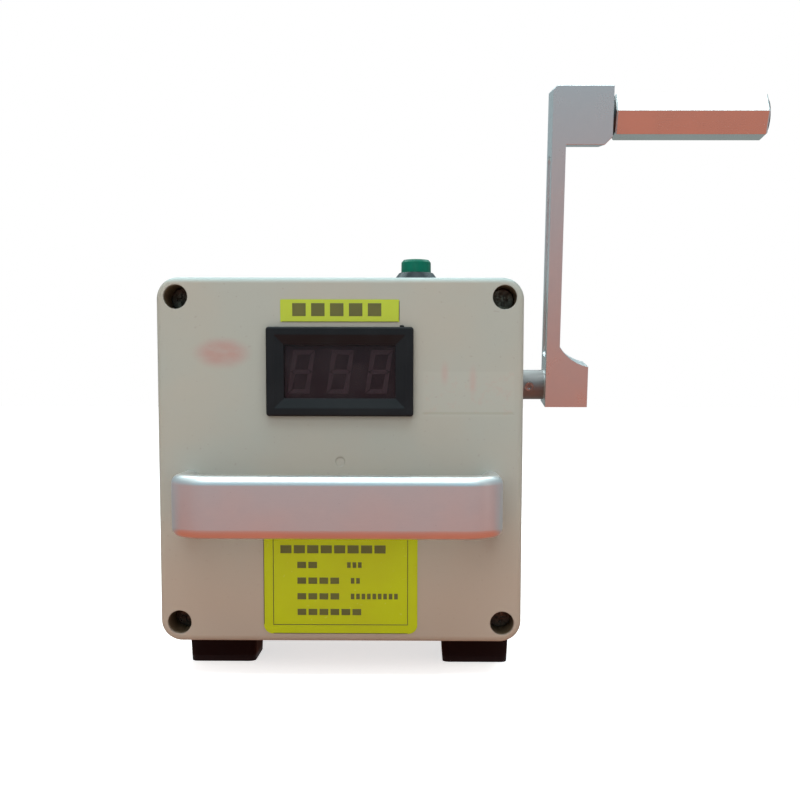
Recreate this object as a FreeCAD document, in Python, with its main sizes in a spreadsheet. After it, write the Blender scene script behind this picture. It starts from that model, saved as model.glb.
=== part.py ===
import FreeCAD, Part
import math
import os
import re

import Sketcher
from FreeCAD import Placement, Rotation, Vector

# A hand crank generator: a two-part moulded housing on four rubber feet, a digital meter and a
# carry handle on its lid, a push button on its top, and on its right side a crank that drives a
# two-stage gear train and a small direct-current generator inside.
#
# Frame: X to the right, Y to the back, Z up. The origin lies on the standing plane, under the
# middle of the housing. Every length is in millimetres.

document = FreeCAD.newDocument("hand_crank_generator")
sheet = document.addObject("Spreadsheet::Sheet", "dims")

DIMENSIONS = {
    # housing
    "housing_width": 120,
    "housing_height": 120,
    "housing_depth": 90,
    "lid_depth": 22,
    "wall": 3,
    "corner_radius": 7,
    "edge_radius": 2,
    "lid_screw_inset": 6.35,
    "well_radius": 3.95,
    "well_depth": 16,
    "well_wall": 2.1,
    "column_radius": 5.5,
    "pilot_radius": 1.7,
    "pilot_depth": 16,
    "groove_width": 1.4,
    "groove_depth": 2,
    "tongue_height": 0.6,
    "gate_radius": 1.5,
    "gate_depth": 0.2,
    # fits
    "running_gap": 0.06,
    "slip_gap": 0.02,
    "seat_gap": 0.1,
    "end_play": 0.3,
    # feet
    "foot_height": 12,
    "foot_base_width": 22.6,
    "foot_taper": 3,
    "foot_corner": 2.5,
    "foot_recess_radius": 4.6,
    "foot_recess_depth": 5,
    "foot_inset": 15.6,
    "foot_spacing": 42,
    "foot_shift": 1.4,
    "foot_boss_radius": 4.5,
    "foot_boss_height": 6,
    # lid screws and small screws
    "lid_screw_radius": 2,
    "lid_screw_head_radius": 3.6,
    "lid_screw_head_height": 2.6,
    "lid_screw_length": 20,
    "lid_screw_core_radius": 1.65,
    "cross_reach": 2,
    "cross_blade": 1,
    "cross_depth": 1.5,
    "foot_screw_radius": 2,
    "foot_screw_head_radius": 3.8,
    "foot_screw_head_height": 2.8,
    "foot_screw_length": 12,
    "small_screw_radius": 1.5,
    "small_screw_head_radius": 2.8,
    "small_screw_head_height": 2,
    "small_screw_length": 10.5,
    "wall_screw_radius": 1.5,
    "wall_screw_head_radius": 2.8,
    "wall_screw_head_height": 2,
    "wall_screw_length": 13.5,
    "board_screw_radius": 1.5,
    "board_screw_head_radius": 2.8,
    "board_screw_head_height": 2,
    "board_screw_length": 6.5,
    "generator_screw_radius": 1.5,
    "generator_screw_head_radius": 2.8,
    "generator_screw_head_height": 2,
    "generator_screw_length": 4.5,
    "pilot_allowance": 0.02,
    "shank_play": 0.2,
    # carry handle
    "handle_width": 105,
    "handle_leg_thickness": 6.4,
    "handle_height": 19.7,
    "handle_projection": 28,
    "handle_bar_depth": 9,
    "handle_rise": 47.15,
    "handle_corner_radius": 13,
    "handle_inner_radius": 6,
    "handle_edge_radius": 2.9,
    "handle_screw_radius": 2,
    "handle_screw_head_radius": 3.6,
    "handle_screw_head_height": 2.8,
    "handle_screw_length": 14,
    "handle_washer_radius": 4.5,
    "handle_washer_thickness": 1,
    "handle_seat_depth": 0.3,
    # meter
    "meter_drop": 30.6,
    "meter_width": 48,
    "meter_height": 29,
    "meter_flange": 2.6,
    "meter_edge_radius": 1,
    "meter_front_radius": 0.7,
    "meter_inner_radius": 0.3,
    "meter_case_width": 45,
    "meter_case_height": 26,
    "meter_case_depth": 20,
    "meter_case_wall": 1.6,
    "window_width": 36.4,
    "window_height": 17.4,
    "window_thickness": 1.2,
    "window_sink": 1,
    "window_ledge": 1,
    "bevel_width": 3.2,
    "display_depth": 6.5,
    "digit_pitch": 12.7,
    "digit_height": 14.2,
    "digit_width": 7.6,
    "digit_slant": 8,
    "segment_width": 1.5,
    "segment_thickness": 0.3,
    "segment_gap": 0.3,
    "board_thickness": 1.6,
    "meter_rib_width": 2,
    "meter_rib_height": 13,
    "meter_rib_spread": 15,
    "meter_pin_pitch": 6.35,
    "meter_pin_width": 1,
    "meter_pin_height": 3,
    "meter_pin_length": 3.2,
    "clip_length": 12,
    "clip_thickness": 0.8,
    "clip_spread": 3.2,
    "clip_height": 10,
    # labels
    "label_thickness": 0.2,
    "meter_label_width": 38.8,
    "meter_label_height": 7.3,
    "meter_label_gap": 1.6,
    "meter_label_radius": 0.4,
    "rating_label_width": 51,
    "rating_label_height": 36.4,
    "rating_label_rise": 2.7,
    "rating_label_radius": 3,
    # push button
    "button_plate_gap": 10.3,
    "button_cap_radius": 5.45,
    "button_cap_rise": 4.6,
    "button_travel": 2,
    "cap_sink": 0.5,
    "cap_bevel": 0.9,
    "cap_draft": 0.15,
    "bezel_shoulder": 2,
    "bezel_rim": 0.9,
    "contact_bore_floor": 1,
    "contact_pin_width": 0.6,
    "contact_pin_depth": 2.4,
    "button_bezel_radius": 7.45,
    "button_bezel_height": 5.6,
    "button_barrel_radius": 6,
    "button_barrel_length": 16,
    "button_stem_radius": 2.6,
    "button_nut_radius": 8,
    "button_nut_height": 3,
    "button_base_height": 8,
    "button_base_flange": 2,
    "button_pin_length": 7,
    "button_pin_spread": 3,
    "spring_radius": 3.6,
    "spring_wire_radius": 0.35,
    "spring_turns": 3,
    # crank
    "shaft_y": 5,
    "shaft_drop": 34.2,
    "crank_lean": 8.4,
    "crank_radius": 94,
    "crank_gap": 11.5,
    "crank_arm_thickness": 4.8,
    "crank_depth": 15.8,
    "crank_lower_width": 15.2,
    "crank_lower_drop": 7.1,
    "crank_lower_rise": 7.6,
    "crank_scoop_rise": 7.1,
    "crank_scoop_radius": 16,
    "crank_upper_width": 20.8,
    "crank_upper_height": 19.5,
    "crank_top_corner": 1.3,
    "crank_end_corner": 2.6,
    "crank_recess_depth": 0.8,
    "crank_bore_floor": 3,
    "crank_recess_width": 9,
    "crank_recess_corner": 2,
    "crank_recess_start": 10.4,
    "crank_recess_end": 80.6,
    "boss_radius": 5.35,
    "boss_gap": 0.4,
    "grub_radius": 1.6,
    "grub_inset": 5.6,
    "grub_socket": 0.9,
    "grub_socket_depth": 1.2,
    "grip_washer_thickness": 1,
    "grip_washer_radius": 6.3,
    "grip_flats": 14.1,
    "grip_length": 52.7,
    "grip_turn": 57,
    "grip_edge": 0.6,
    "grip_cap_thickness": 1.2,
    "grip_cap_radius": 6.1,
    "grip_cap_rise": 0.4,
    "spindle_radius": 3,
    "spindle_head_radius": 5,
    "spindle_head_height": 3,
    "spindle_end_gap": 0.6,
    # gearbox
    "shaft_radius": 3,
    "bush_flange": 1,
    "bush_radius": 5,
    "bush_flange_radius": 6.5,
    "plate_thickness": 2.5,
    "plate_gap": 17,
    "plate_half_width": 25.5,
    "plate_top_drop": 12.6,
    "plate_rise": 13.5,
    "plate_corner": 5,
    "spacer_inset": 4.5,
    "spacer_radius": 3.5,
    "first_module": 0.9,
    "second_module": 0.7,
    "first_wheel_teeth": 48,
    "first_pinion_teeth": 12,
    "second_wheel_teeth": 60,
    "second_pinion_teeth": 12,
    "pressure_angle": 25,
    "backlash": 0.14,
    "first_wheel_width": 4,
    "second_wheel_width": 3.5,
    "pinion_overlap": 1,
    "second_wheel_gap": 2.5,
    "wheel_spacing": 4.5,
    "wheel_hub_radius": 7,
    "wheel_hub_length": 3.5,
    "idler_hub_radius": 4,
    "idler_pin_radius": 2,
    "gear_pin_radius": 1,
    "web_hole_radius": 4.2,
    "web_hole_ring": 14,
    "web_holes": 5,
    "clip_ring_radius": 5,
    "clip_ring_width": 0.8,
    "clip_groove_depth": 0.5,
    "clip_mouth": 3.6,
    "shaft_tail": 1.5,
    # generator
    "can_radius": 18,
    "can_length": 50,
    "can_wall": 1.2,
    "can_nose_radius": 6.5,
    "rotor_shaft_radius": 1.5,
    "rotor_bush_radius": 3.5,
    "magnet_thickness": 3.6,
    "magnet_length": 34,
    "magnet_angle": 130,
    "air_gap": 0.6,
    "core_length": 24,
    "core_slots": 5,
    "slot_width": 4,
    "slot_floor_radius": 5,
    "winding_overhang": 4,
    "winding_clearance": 0.2,
    "winding_drop": 1.2,
    "commutator_radius": 4,
    "commutator_length": 4,
    "commutator_gap": 1.2,
    "end_bell_thickness": 4,
    "brush_length": 5,
    "brush_width": 3,
    "brush_holder_wall": 1.2,
    "generator_screw_pitch": 25,
    "terminal_length": 6,
    "terminal_width": 3,
    "terminal_thickness": 0.8,
    "terminal_spread": 11.8,
    "brush_reach": 1.5,
    "core_shift": 4,
    "rotor_tail": 1.5,
    "rotor_end": 0.5,
    "slot_mouth": 1.6,
    # control board
    "board_side_gap": 7,
    "board_width": 62,
    "board_drop": 13.5,
    "board_height": 52,
    "standoff_height": 6,
    "standoff_radius": 3.5,
    "board_screw_inset": 4,
    "board_corner": 2,
    "capacitor_radius": 8,
    "capacitor_height": 22,
    "capacitor_bevel": 1,
    "capacitor_x": 16,
    "capacitor_drop": 20,
    "rectifier_x": 28,
    "rectifier_drop": 6,
    "rectifier_width": 22,
    "rectifier_height": 14,
    "rectifier_thickness": 3.6,
    "sink_width": 24,
    "sink_height": 18,
    "sink_depth": 12,
    "sink_fins": 6,
    "sink_fin": 1.2,
    "sink_x": 34,
    "sink_drop": 32,
    "block_width": 20,
    "block_height": 8,
    "block_depth": 10,
    "block_lift": 2,
    "block_hole_depth": 3,
    "block_hole_pitch": 4.8,
    "lead_radius": 0.8,
    "lead_bend": 13,
    "lead_loop": 6,
    "lead_step": 2,
    "meter_lead_x": 30,
    "meter_lead_rise": 14,
    "button_lead_x": 57,
    "button_lead_rise": 12,
    # output sockets
    "socket_spacing": 19,
    "socket_inset": 20,
    "socket_rise": 26.5,
    "socket_flange_radius": 6.5,
    "socket_flange": 2,
    "socket_body_radius": 4,
    "socket_body_length": 16,
    "socket_bore": 2,
    "socket_metal_radius": 2.8,
    "socket_metal_sink": 0.6,
    "socket_base": 2,
    "socket_tail": 6,
    "socket_tail_radius": 1.2,
    "socket_nut_radius": 6,
    "socket_nut_height": 3,
}

for row, (alias, size) in enumerate(DIMENSIONS.items(), start=1):
    sheet.set(f"A{row}", alias.replace("_", " "))
    sheet.set(f"B{row}", str(size))
    sheet.setAlias(f"B{row}", alias)
document.recompute()

# Places that several pieces share, as expressions on the sheet.
HOUSING_Z = "foot_height + housing_height / 2"
BOX_TOP = "foot_height + housing_height"
FRONT = "-housing_depth / 2"
SPLIT = "-housing_depth / 2 + lid_depth"
BACK = "housing_depth / 2"
INNER_RIGHT = "housing_width / 2 - wall"
SCREW_X = "housing_width / 2 - lid_screw_inset"
SCREW_Z = "housing_height / 2 - lid_screw_inset"
SHAFT_Z = f"{BOX_TOP} - shaft_drop"
FIRST_CENTRES = "first_module * (first_wheel_teeth + first_pinion_teeth) / 2"
SECOND_CENTRES = "second_module * (second_wheel_teeth + second_pinion_teeth) / 2"
IDLER_Z = f"{SHAFT_Z} - {FIRST_CENTRES}"
ROTOR_Z = f"{IDLER_Z} - {SECOND_CENTRES}"
OUTER_PLATE_X = f"{INNER_RIGHT} - plate_thickness"
INNER_PLATE_X = f"{OUTER_PLATE_X} - plate_gap - plate_thickness"
SECOND_WHEEL_X = f"{INNER_PLATE_X} + plate_thickness + second_wheel_gap"
FIRST_WHEEL_X = f"{SECOND_WHEEL_X} + second_wheel_width + wheel_spacing"
CRANK_X = "housing_width / 2 + crank_gap"
CRANK_BORE_END = f"{CRANK_X} + crank_lower_width - crank_bore_floor"
SPINDLE_X = f"{CRANK_X} + crank_bore_floor"
GRUB_X = f"{CRANK_X} - grub_inset"
GRIP_X = f"{CRANK_X} + crank_upper_width + grip_washer_thickness + seat_gap"
GRIP_END_X = f"{GRIP_X} + grip_length"
SPINDLE_END_X = f"{GRIP_END_X} - grip_cap_thickness - spindle_end_gap"
GRIP_Y = "shaft_y - crank_radius * sin(crank_lean)"
GRIP_Z = f"{SHAFT_Z} + crank_radius * cos(crank_lean)"
METER_Y = f"{FRONT} - meter_flange"
METER_Z = f"{BOX_TOP} - meter_drop"
HANDLE_Z = "foot_height + handle_rise"
HANDLE_SCREW_X = "(handle_width - handle_leg_thickness) / 2"
HANDLE_SEAT_Y = f"{FRONT} + wall - handle_seat_depth"
GEAR_PIN_X = f"{FIRST_WHEEL_X} - wheel_hub_length / 2"
BUTTON_X = f"{INNER_PLATE_X} - button_plate_gap"
FOOT_CENTRE = ("housing_width / 2 - foot_inset", "foot_spacing / 2")
FEET_Y = "lid_depth / 2"
BOARD_Y = f"{BACK} - wall - standoff_height - board_thickness"
BOARD_LEFT = "-housing_width / 2 + wall + board_side_gap"
BOARD_MIDDLE = f"{BOARD_LEFT} + board_width / 2"
BOARD_TOP = f"{BOX_TOP} - board_drop"
BOARD_LOW = f"{BOARD_TOP} - board_height"
SOCKET_X = "-housing_width / 2 + socket_inset"
SOCKET_Z = "foot_height + socket_rise"


def bound(expression):
    """An expression with each dimension's name led by the name of the sheet."""
    def lead(word):
        return f"dims.{word[0]}" if word[0] in DIMENSIONS else word[0]
    return re.sub(r"[a-z_]+[a-z_0-9]*", lead, str(expression))


def amount(expression):
    """The value of an expression on the sheet."""
    return float(sheet.evalExpression(bound(expression)))


def place(item, x="0", y="0", z="0", turn=None):
    """Put an object at a place, turned about X by an angle when one is given."""
    if turn is not None:
        item.Placement = Placement(Vector(0, 0, 0), Rotation(Vector(1, 0, 0), 1))
        item.setExpression("Placement.Rotation.Angle", bound(turn))
    item.setExpression("Placement.Base.x", bound(x))
    item.setExpression("Placement.Base.y", bound(y))
    item.setExpression("Placement.Base.z", bound(z))


# ---------------------------------------------------------------- sketch outlines

def rule(sketch, kind, *places, size):
    """One dimension in a sketch, tied to the sheet."""
    index = sketch.addConstraint(Sketcher.Constraint(kind, *places, amount(size)))
    sketch.setExpression(f"Constraints[{index}]", bound(size))


def pin_point(sketch, geometry, point, x, y):
    rule(sketch, "DistanceX", -1, 1, geometry, point, size=x)
    rule(sketch, "DistanceY", -1, 1, geometry, point, size=y)


def circle(x, y, radius):
    """A circle by its centre and radius."""
    def draw(sketch):
        centre = Vector(amount(x), amount(y), 0)
        ring = sketch.addGeometry(Part.Circle(centre, Vector(0, 0, 1), amount(radius)))
        pin_point(sketch, ring, 3, x, y)
        rule(sketch, "Radius", ring, size=radius)
    return draw


def polygon(*corners):
    """Straight lines through the corners, each corner pinned at its place."""
    def draw(sketch):
        points = [Vector(amount(x), amount(y), 0) for x, y in corners]
        ends = points[1:] + points[:1]
        lines = [sketch.addGeometry(Part.LineSegment(a, b)) for a, b in zip(points, ends)]
        for line, following in zip(lines, lines[1:] + lines[:1]):
            sketch.addConstraint(Sketcher.Constraint("Coincident", line, 2, following, 1))
        for line, (x, y) in zip(lines, corners):
            pin_point(sketch, line, 1, x, y)
    return draw


def rectangle(x0, y0, x1, y1):
    return polygon((x0, y0), (x1, y0), (x1, y1), (x0, y1))


def rounded(x0, y0, x1, y1, radius):
    """A rectangle with a quarter circle at each corner."""
    def draw(sketch):
        left, low, right, high = amount(x0), amount(y0), amount(x1), amount(y1)
        bend = amount(radius)
        sides = [((left + bend, low), (right - bend, low)), ((right, low + bend), (right, high - bend)),
                 ((right - bend, high), (left + bend, high)), ((left, high - bend), (left, low + bend))]
        centres = [(right - bend, low + bend), (right - bend, high - bend),
                   (left + bend, high - bend), (left + bend, low + bend)]
        lines = [sketch.addGeometry(Part.LineSegment(Vector(*a, 0), Vector(*b, 0))) for a, b in sides]
        bends = []
        for quarter, centre in enumerate(centres):
            ring = Part.Circle(Vector(*centre, 0), Vector(0, 0, 1), bend)
            start = (quarter - 1) * math.pi / 2
            bends.append(sketch.addGeometry(Part.ArcOfCircle(ring, start, start + math.pi / 2)))
        for step in range(4):
            sketch.addConstraint(Sketcher.Constraint("Tangent", lines[step], 2, bends[step], 1))
            after = lines[(step + 1) % 4]
            sketch.addConstraint(Sketcher.Constraint("Tangent", bends[step], 2, after, 1))
            direction = "Horizontal" if step % 2 == 0 else "Vertical"
            sketch.addConstraint(Sketcher.Constraint(direction, lines[step]))
        for bend_arc in bends[1:]:
            sketch.addConstraint(Sketcher.Constraint("Equal", bends[0], bend_arc))
        rule(sketch, "DistanceX", -1, 1, lines[3], 1, size=x0)
        rule(sketch, "DistanceY", -1, 1, lines[0], 1, size=y0)
        rule(sketch, "DistanceX", -1, 1, lines[1], 1, size=x1)
        rule(sketch, "DistanceY", -1, 1, lines[2], 1, size=y1)
        rule(sketch, "Radius", bends[0], size=radius)
    return draw


def centred(width, height, radius, x="0", y="0"):
    """A rounded rectangle about a centre."""
    return rounded(f"{x} - ({width}) / 2", f"{y} - ({height}) / 2",
                   f"{x} + ({width}) / 2", f"{y} + ({height}) / 2", radius)


def at_corners(x, y, radius):
    """Four equal circles, mirrored in both axes."""
    return [circle(f"{a}({x})", f"{b}({y})", radius) for a in ("", "-") for b in ("", "-")]


# ---------------------------------------------------------------- pieces

PLANES = {"X": "YZ_Plane", "Y": "XZ_Plane", "Z": "XY_Plane"}
pieces = []


class Piece:
    """One piece of the generator: a body and the few kinds of feature it is made with."""

    def __init__(self, label, x="0", y="0", z="0", turn=None):
        self.body = document.addObject("PartDesign::Body", label)
        self.body.Label = label
        self.body.AllowCompound = True
        place(self.body, x, y, z, turn)
        pieces.append(self.body)

    def plane(self, axis):
        return next(one for one in self.body.Origin.OriginFeatures if one.Role == PLANES[axis])

    def sketch(self, axis, at, outlines):
        """A sketch that lies across an axis, at a place along it."""
        sketch = self.body.newObject("Sketcher::SketchObject", "outline")
        sketch.AttachmentSupport = [(self.plane(axis), "")]
        sketch.MapMode = "FlatFace"
        sign = "-" if axis == "Y" else ""
        sketch.setExpression("AttachmentOffset.Base.z", bound(f"{sign}({at})"))
        for draw in outlines:
            draw(sketch)
        sketch.Visibility = False
        return sketch

    def extrude(self, kind, axis, start, end, outlines):
        profile = self.sketch(axis, start, outlines)
        feature = self.body.newObject(f"PartDesign::{kind}", kind.lower())
        feature.Profile = profile
        feature.setExpression("Length", bound(f"({end}) - ({start})"))
        feature.Reversed = (axis == "Y") == (kind == "Pad")
        document.recompute()
        return feature

    def add(self, axis, start, end, *outlines):
        """Material from one place to another along an axis."""
        return self.extrude("Pad", axis, start, end, outlines)

    def cut(self, axis, start, end, *outlines):
        """A cut from one place to another along an axis."""
        return self.extrude("Pocket", axis, start, end, outlines)

    def turned(self, axis, *corners, centre=("0", "0")):
        """A form turned about an axis; each corner is a place along it and a radius.

        The centre is the axis's place in the other two directions, in X, Y, Z order.
        """
        upright = axis == "Z"
        outline = polygon(*[(radius, along) if upright else (along, radius) for along, radius in corners])
        across = "X" if axis == "Y" else "Y"
        depth = centre[1] if upright else centre[0]
        profile = self.sketch(across, depth, [outline])
        if upright:
            profile.setExpression("AttachmentOffset.Base.x", bound(centre[0]))
        else:
            profile.setExpression("AttachmentOffset.Base.y", bound(centre[1]))
        feature = self.body.newObject("PartDesign::Revolution", "revolution")
        feature.Profile = profile
        feature.ReferenceAxis = (profile, ["V_Axis" if upright else "H_Axis"])
        feature.Angle = 360
        document.recompute()
        return feature

    def smooth(self, radius, test, kind="Fillet"):
        """Round or chamfer the edges that pass a test."""
        base = self.body.Tip
        names = [f"Edge{number}" for number, edge in enumerate(base.Shape.Edges, start=1) if test(edge)]
        feature = self.body.newObject(f"PartDesign::{kind}", kind.lower())
        feature.Base = (base, names)
        feature.setExpression("Radius" if kind == "Fillet" else "Size", bound(radius))
        document.recompute()
        return feature

    def mirror(self, *axes):
        """The whole piece again, on the other side of each axis."""
        for axis in axes:
            feature = self.body.newObject("PartDesign::Mirrored", "mirrored")
            feature.TransformMode = "Whole shape"
            feature.MirrorPlane = (self.plane(axis), [""])
            self.body.Tip = feature
            document.recompute()

    def around(self, axis, count, *features):
        """Features repeated at equal angles about an axis."""
        line = next(one for one in self.body.Origin.OriginFeatures if one.Role == f"{axis}_Axis")
        pattern = self.body.newObject("PartDesign::PolarPattern", "pattern")
        pattern.Originals = list(features)
        pattern.Axis = (line, [""])
        pattern.Angle = 360
        pattern.setExpression("Occurrences", bound(count))
        self.body.Tip = pattern
        document.recompute()


def straight(edge):
    return edge.Curve.TypeId == "Part::GeomLine"


def along(edge, axis):
    """True for a straight edge that runs along an axis."""
    return straight(edge) and abs(getattr(edge.tangentAt(edge.FirstParameter), axis)) > 0.999


def at(edge, axis, expression, within=0.01):
    """True for an edge whose middle lies at a place along an axis."""
    return abs(getattr(edge.CenterOfMass, axis) - amount(expression)) < within


def flat_at(edge, axis, expression):
    """True for an edge that lies wholly at a place along an axis."""
    place_there = amount(expression)
    samples = edge.discretize(5)
    return all(abs(getattr(point, axis) - place_there) < 0.01 for point in samples)


def solid_piece(label, shape, x="0", y="0", z="0", turn=None):
    """A piece whose form comes from a formula."""
    item = document.addObject("Part::Feature", label)
    item.Label = label
    item.Shape = shape
    place(item, x, y, z, turn)
    pieces.append(item)
    return item


def screw(piece, axis, seat, into, name, centre):
    """A cheese head screw about an axis, whose shank runs into the part from its seat."""
    out = "-" if into == "+" else "+"
    crown = f"{seat} {out} {name}_head_height"
    tip = f"{seat} {into} {name}_length"
    radius, head_radius = f"{name}_radius", f"{name}_head_radius"
    piece.turned(axis, (crown, "0"), (crown, head_radius), (seat, head_radius), (seat, radius),
                 (tip, radius), (tip, "0"), centre=centre)


def hexagon(x, y, flats):
    """A hexagon by its width across flats, with a corner at each end of its first axis."""
    reach = f"({flats}) / 2 / cos(30)"
    return polygon(*[(f"{x} + {reach} * cos({angle})", f"{y} + {reach} * sin({angle})")
                     for angle in range(0, 360, 60)])


# ---------------------------------------------------------------- housing

def housing_outline(inset="0"):
    """The housing's outline in front view, drawn in by an inset."""
    return centred(f"housing_width - 2 * ({inset})", f"housing_height - 2 * ({inset})",
                   f"corner_radius - ({inset})")


def groove_outlines(play="0"):
    """The two edges of the sealing groove, which runs along the middle of the wall."""
    half = f"(groove_width / 2 - ({play}))"
    return housing_outline(f"wall / 2 - {half}"), housing_outline(f"wall / 2 + {half}")


def make_base_shell():
    shell = Piece("base_shell", z=HOUSING_Z)
    shell.add("Y", SPLIT, BACK, housing_outline())
    shell.smooth("edge_radius", lambda edge: flat_at(edge, "y", BACK))
    shell.cut("Y", SPLIT, f"{BACK} - wall", housing_outline("wall"))
    shell.add("Y", SPLIT, f"{BACK} - wall / 2", *at_corners(SCREW_X, SCREW_Z, "column_radius"))
    shell.cut("Y", SPLIT, f"{SPLIT} + pilot_depth", *at_corners(SCREW_X, SCREW_Z, "pilot_radius"))
    shell.cut("Y", SPLIT, f"{SPLIT} + groove_depth", *groove_outlines())
    # board pillars on the back wall
    pillar_places = [(x, f"{z} - ({HOUSING_Z})") for x, z in board_screw_places()]
    shell.add("Y", f"{BACK} - wall - standoff_height", f"{BACK} - wall / 2",
              *[circle(x, z, "standoff_radius") for x, z in pillar_places])
    shell.cut("Y", f"{BACK} - wall - standoff_height", f"{BACK} - wall",
              *[circle(x, z, "board_screw_radius + pilot_allowance") for x, z in pillar_places])
    # bosses over the feet
    floor = "-housing_height / 2"
    feet = [(f"foot_shift {a} ({FOOT_CENTRE[0]})", f"{FEET_Y} {b} {FOOT_CENTRE[1]}")
            for a in "+-" for b in "+-"]
    ends = (f"{floor} + wall / 2", f"{floor} + wall + foot_boss_height")
    shell.add("Z", *ends, *[circle(x, y, "foot_boss_radius") for x, y in feet])
    shell.cut("Z", floor, f"{floor} + wall + foot_boss_height",
              *[circle(x, y, "foot_screw_radius + pilot_allowance") for x, y in feet])
    # button, crank shaft and gearbox screws, output sockets
    shell.cut("Z", "housing_height / 2 - wall", "housing_height / 2",
              circle(BUTTON_X, "0", "button_barrel_radius + seat_gap"))
    shaft = f"{SHAFT_Z} - ({HOUSING_Z})"
    shell.cut("X", "housing_width / 2 - wall", "housing_width / 2",
              circle("shaft_y", shaft, "bush_radius + slip_gap"),
              *[circle(y, f"{z} - ({HOUSING_Z})", "small_screw_radius + shank_play")
                for y, z in spacer_places()])
    sockets = [(f"{SOCKET_X} {side} socket_spacing / 2", f"{SOCKET_Z} - ({HOUSING_Z})") for side in "+-"]
    shell.cut("Y", f"{BACK} - wall", BACK,
              *[circle(x, y, "socket_body_radius + seat_gap") for x, y in sockets])


def make_lid():
    lid = Piece("lid", z=HOUSING_Z)
    lid.add("Y", FRONT, SPLIT, housing_outline())
    lid.smooth("edge_radius", lambda edge: flat_at(edge, "y", FRONT))
    lid.cut("Y", f"{FRONT} + wall", SPLIT, housing_outline("wall"))
    lid.add("Y", f"{FRONT} + wall / 2", SPLIT, *at_corners(SCREW_X, SCREW_Z, "well_radius + well_wall"))
    lid.cut("Y", FRONT, f"{FRONT} + well_depth", *at_corners(SCREW_X, SCREW_Z, "well_radius"))
    lid.cut("Y", f"{FRONT} + well_depth", SPLIT,
            *at_corners(SCREW_X, SCREW_Z, "lid_screw_radius + shank_play"))
    lid.add("Y", SPLIT, f"{SPLIT} + tongue_height", *groove_outlines("seat_gap"))
    lid.cut("Y", FRONT, f"{FRONT} + wall",
            centred("meter_case_width + 2 * seat_gap", "meter_case_height + 2 * seat_gap",
                    "meter_edge_radius", y=f"{METER_Z} - ({HOUSING_Z})"))
    # the handle's screws: a hole for each shank, and a seat with room for each washer and head
    fixing_end = f"{HANDLE_SEAT_Y} + handle_washer_thickness + handle_screw_head_height + seat_gap"
    for start, end, radius in ((FRONT, HANDLE_SEAT_Y, "handle_screw_radius + shank_play"),
                               (HANDLE_SEAT_Y, fixing_end, "handle_washer_radius + seat_gap")):
        lid.cut("Y", start, end, *[circle(f"{side}({HANDLE_SCREW_X})", f"{HANDLE_Z} - ({HOUSING_Z})", radius)
                                   for side in ("", "-")])
    lid.cut("Y", FRONT, f"{FRONT} + gate_depth", circle("0", "0", "gate_radius"))


def make_gasket():
    gasket = Piece("lid_gasket", z=HOUSING_Z)
    gasket.add("Y", f"{SPLIT} + tongue_height", f"{SPLIT} + groove_depth",
               *groove_outlines("seat_gap / 2"))


def make_lid_screws():
    screws = Piece("lid_screws", z=HOUSING_Z)
    seat = f"{FRONT} + well_depth"
    crown = f"{seat} - lid_screw_head_height"
    screws.add("Y", crown, seat, circle(SCREW_X, SCREW_Z, "lid_screw_head_radius"))
    screws.add("Y", seat, f"{seat} + lid_screw_length", circle(SCREW_X, SCREW_Z, "lid_screw_core_radius"))
    for wide, high in (("cross_reach", "cross_blade / 2"), ("cross_blade / 2", "cross_reach")):
        screws.cut("Y", crown, f"{crown} + cross_depth",
                   rectangle(f"{SCREW_X} - {wide}", f"{SCREW_Z} - {high}",
                             f"{SCREW_X} + {wide}", f"{SCREW_Z} + {high}"))
    screws.mirror("X", "Z")


def make_feet():
    """Four square blocks that widen upwards, each with a recess for its screw's head."""
    feet = Piece("rubber_feet", x="foot_shift", y=FEET_Y)
    x, y = FOOT_CENTRE
    block = feet.add("Z", "0", "foot_height",
                     centred("foot_base_width", "foot_base_width", "foot_corner", x=x, y=y))
    block.setExpression("TaperAngle", bound("foot_taper"))
    feet.cut("Z", "0", "foot_recess_depth", circle(x, y, "foot_recess_radius"))
    feet.cut("Z", "foot_recess_depth", "foot_height", circle(x, y, "foot_screw_radius + shank_play"))
    feet.mirror("X", "Y")


def make_foot_screws():
    screws = Piece("foot_screws", x="foot_shift", y=FEET_Y)
    screw(screws, "Z", "foot_recess_depth", "+", "foot_screw", FOOT_CENTRE)
    screws.mirror("X", "Y")


# ---------------------------------------------------------------- carry handle

def make_handle():
    handle = Piece("carry_handle", y=FRONT, z=HANDLE_Z)
    outer = "handle_width / 2"
    inner = "(handle_width / 2 - handle_leg_thickness)"
    bar_back = "-handle_projection + handle_bar_depth"
    top = "handle_height / 2"
    handle.add("Z", f"-{top}", top,
               polygon((f"-{outer}", "0"), (f"-{outer}", "-handle_projection"),
                       (outer, "-handle_projection"), (outer, "0"), (inner, "0"),
                       (inner, bar_back), (f"-{inner}", bar_back), (f"-{inner}", "0")))
    handle.smooth("handle_corner_radius",
                  lambda edge: along(edge, "z") and at(edge, "y", "-handle_projection"))
    handle.smooth("handle_inner_radius", lambda edge: along(edge, "z") and at(edge, "y", bar_back))
    handle.smooth("handle_edge_radius",
                  lambda edge: (flat_at(edge, "z", top) or flat_at(edge, "z", f"-{top}"))
                  and not flat_at(edge, "y", "0"))
    screw_tip = f"{HANDLE_SEAT_Y} + handle_washer_thickness - handle_screw_length - ({FRONT})"
    handle.cut("Y", f"{screw_tip} - seat_gap", "0",
               *[circle(f"{side}({HANDLE_SCREW_X})", "0", "handle_screw_radius + pilot_allowance")
                 for side in ("", "-")])


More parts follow.
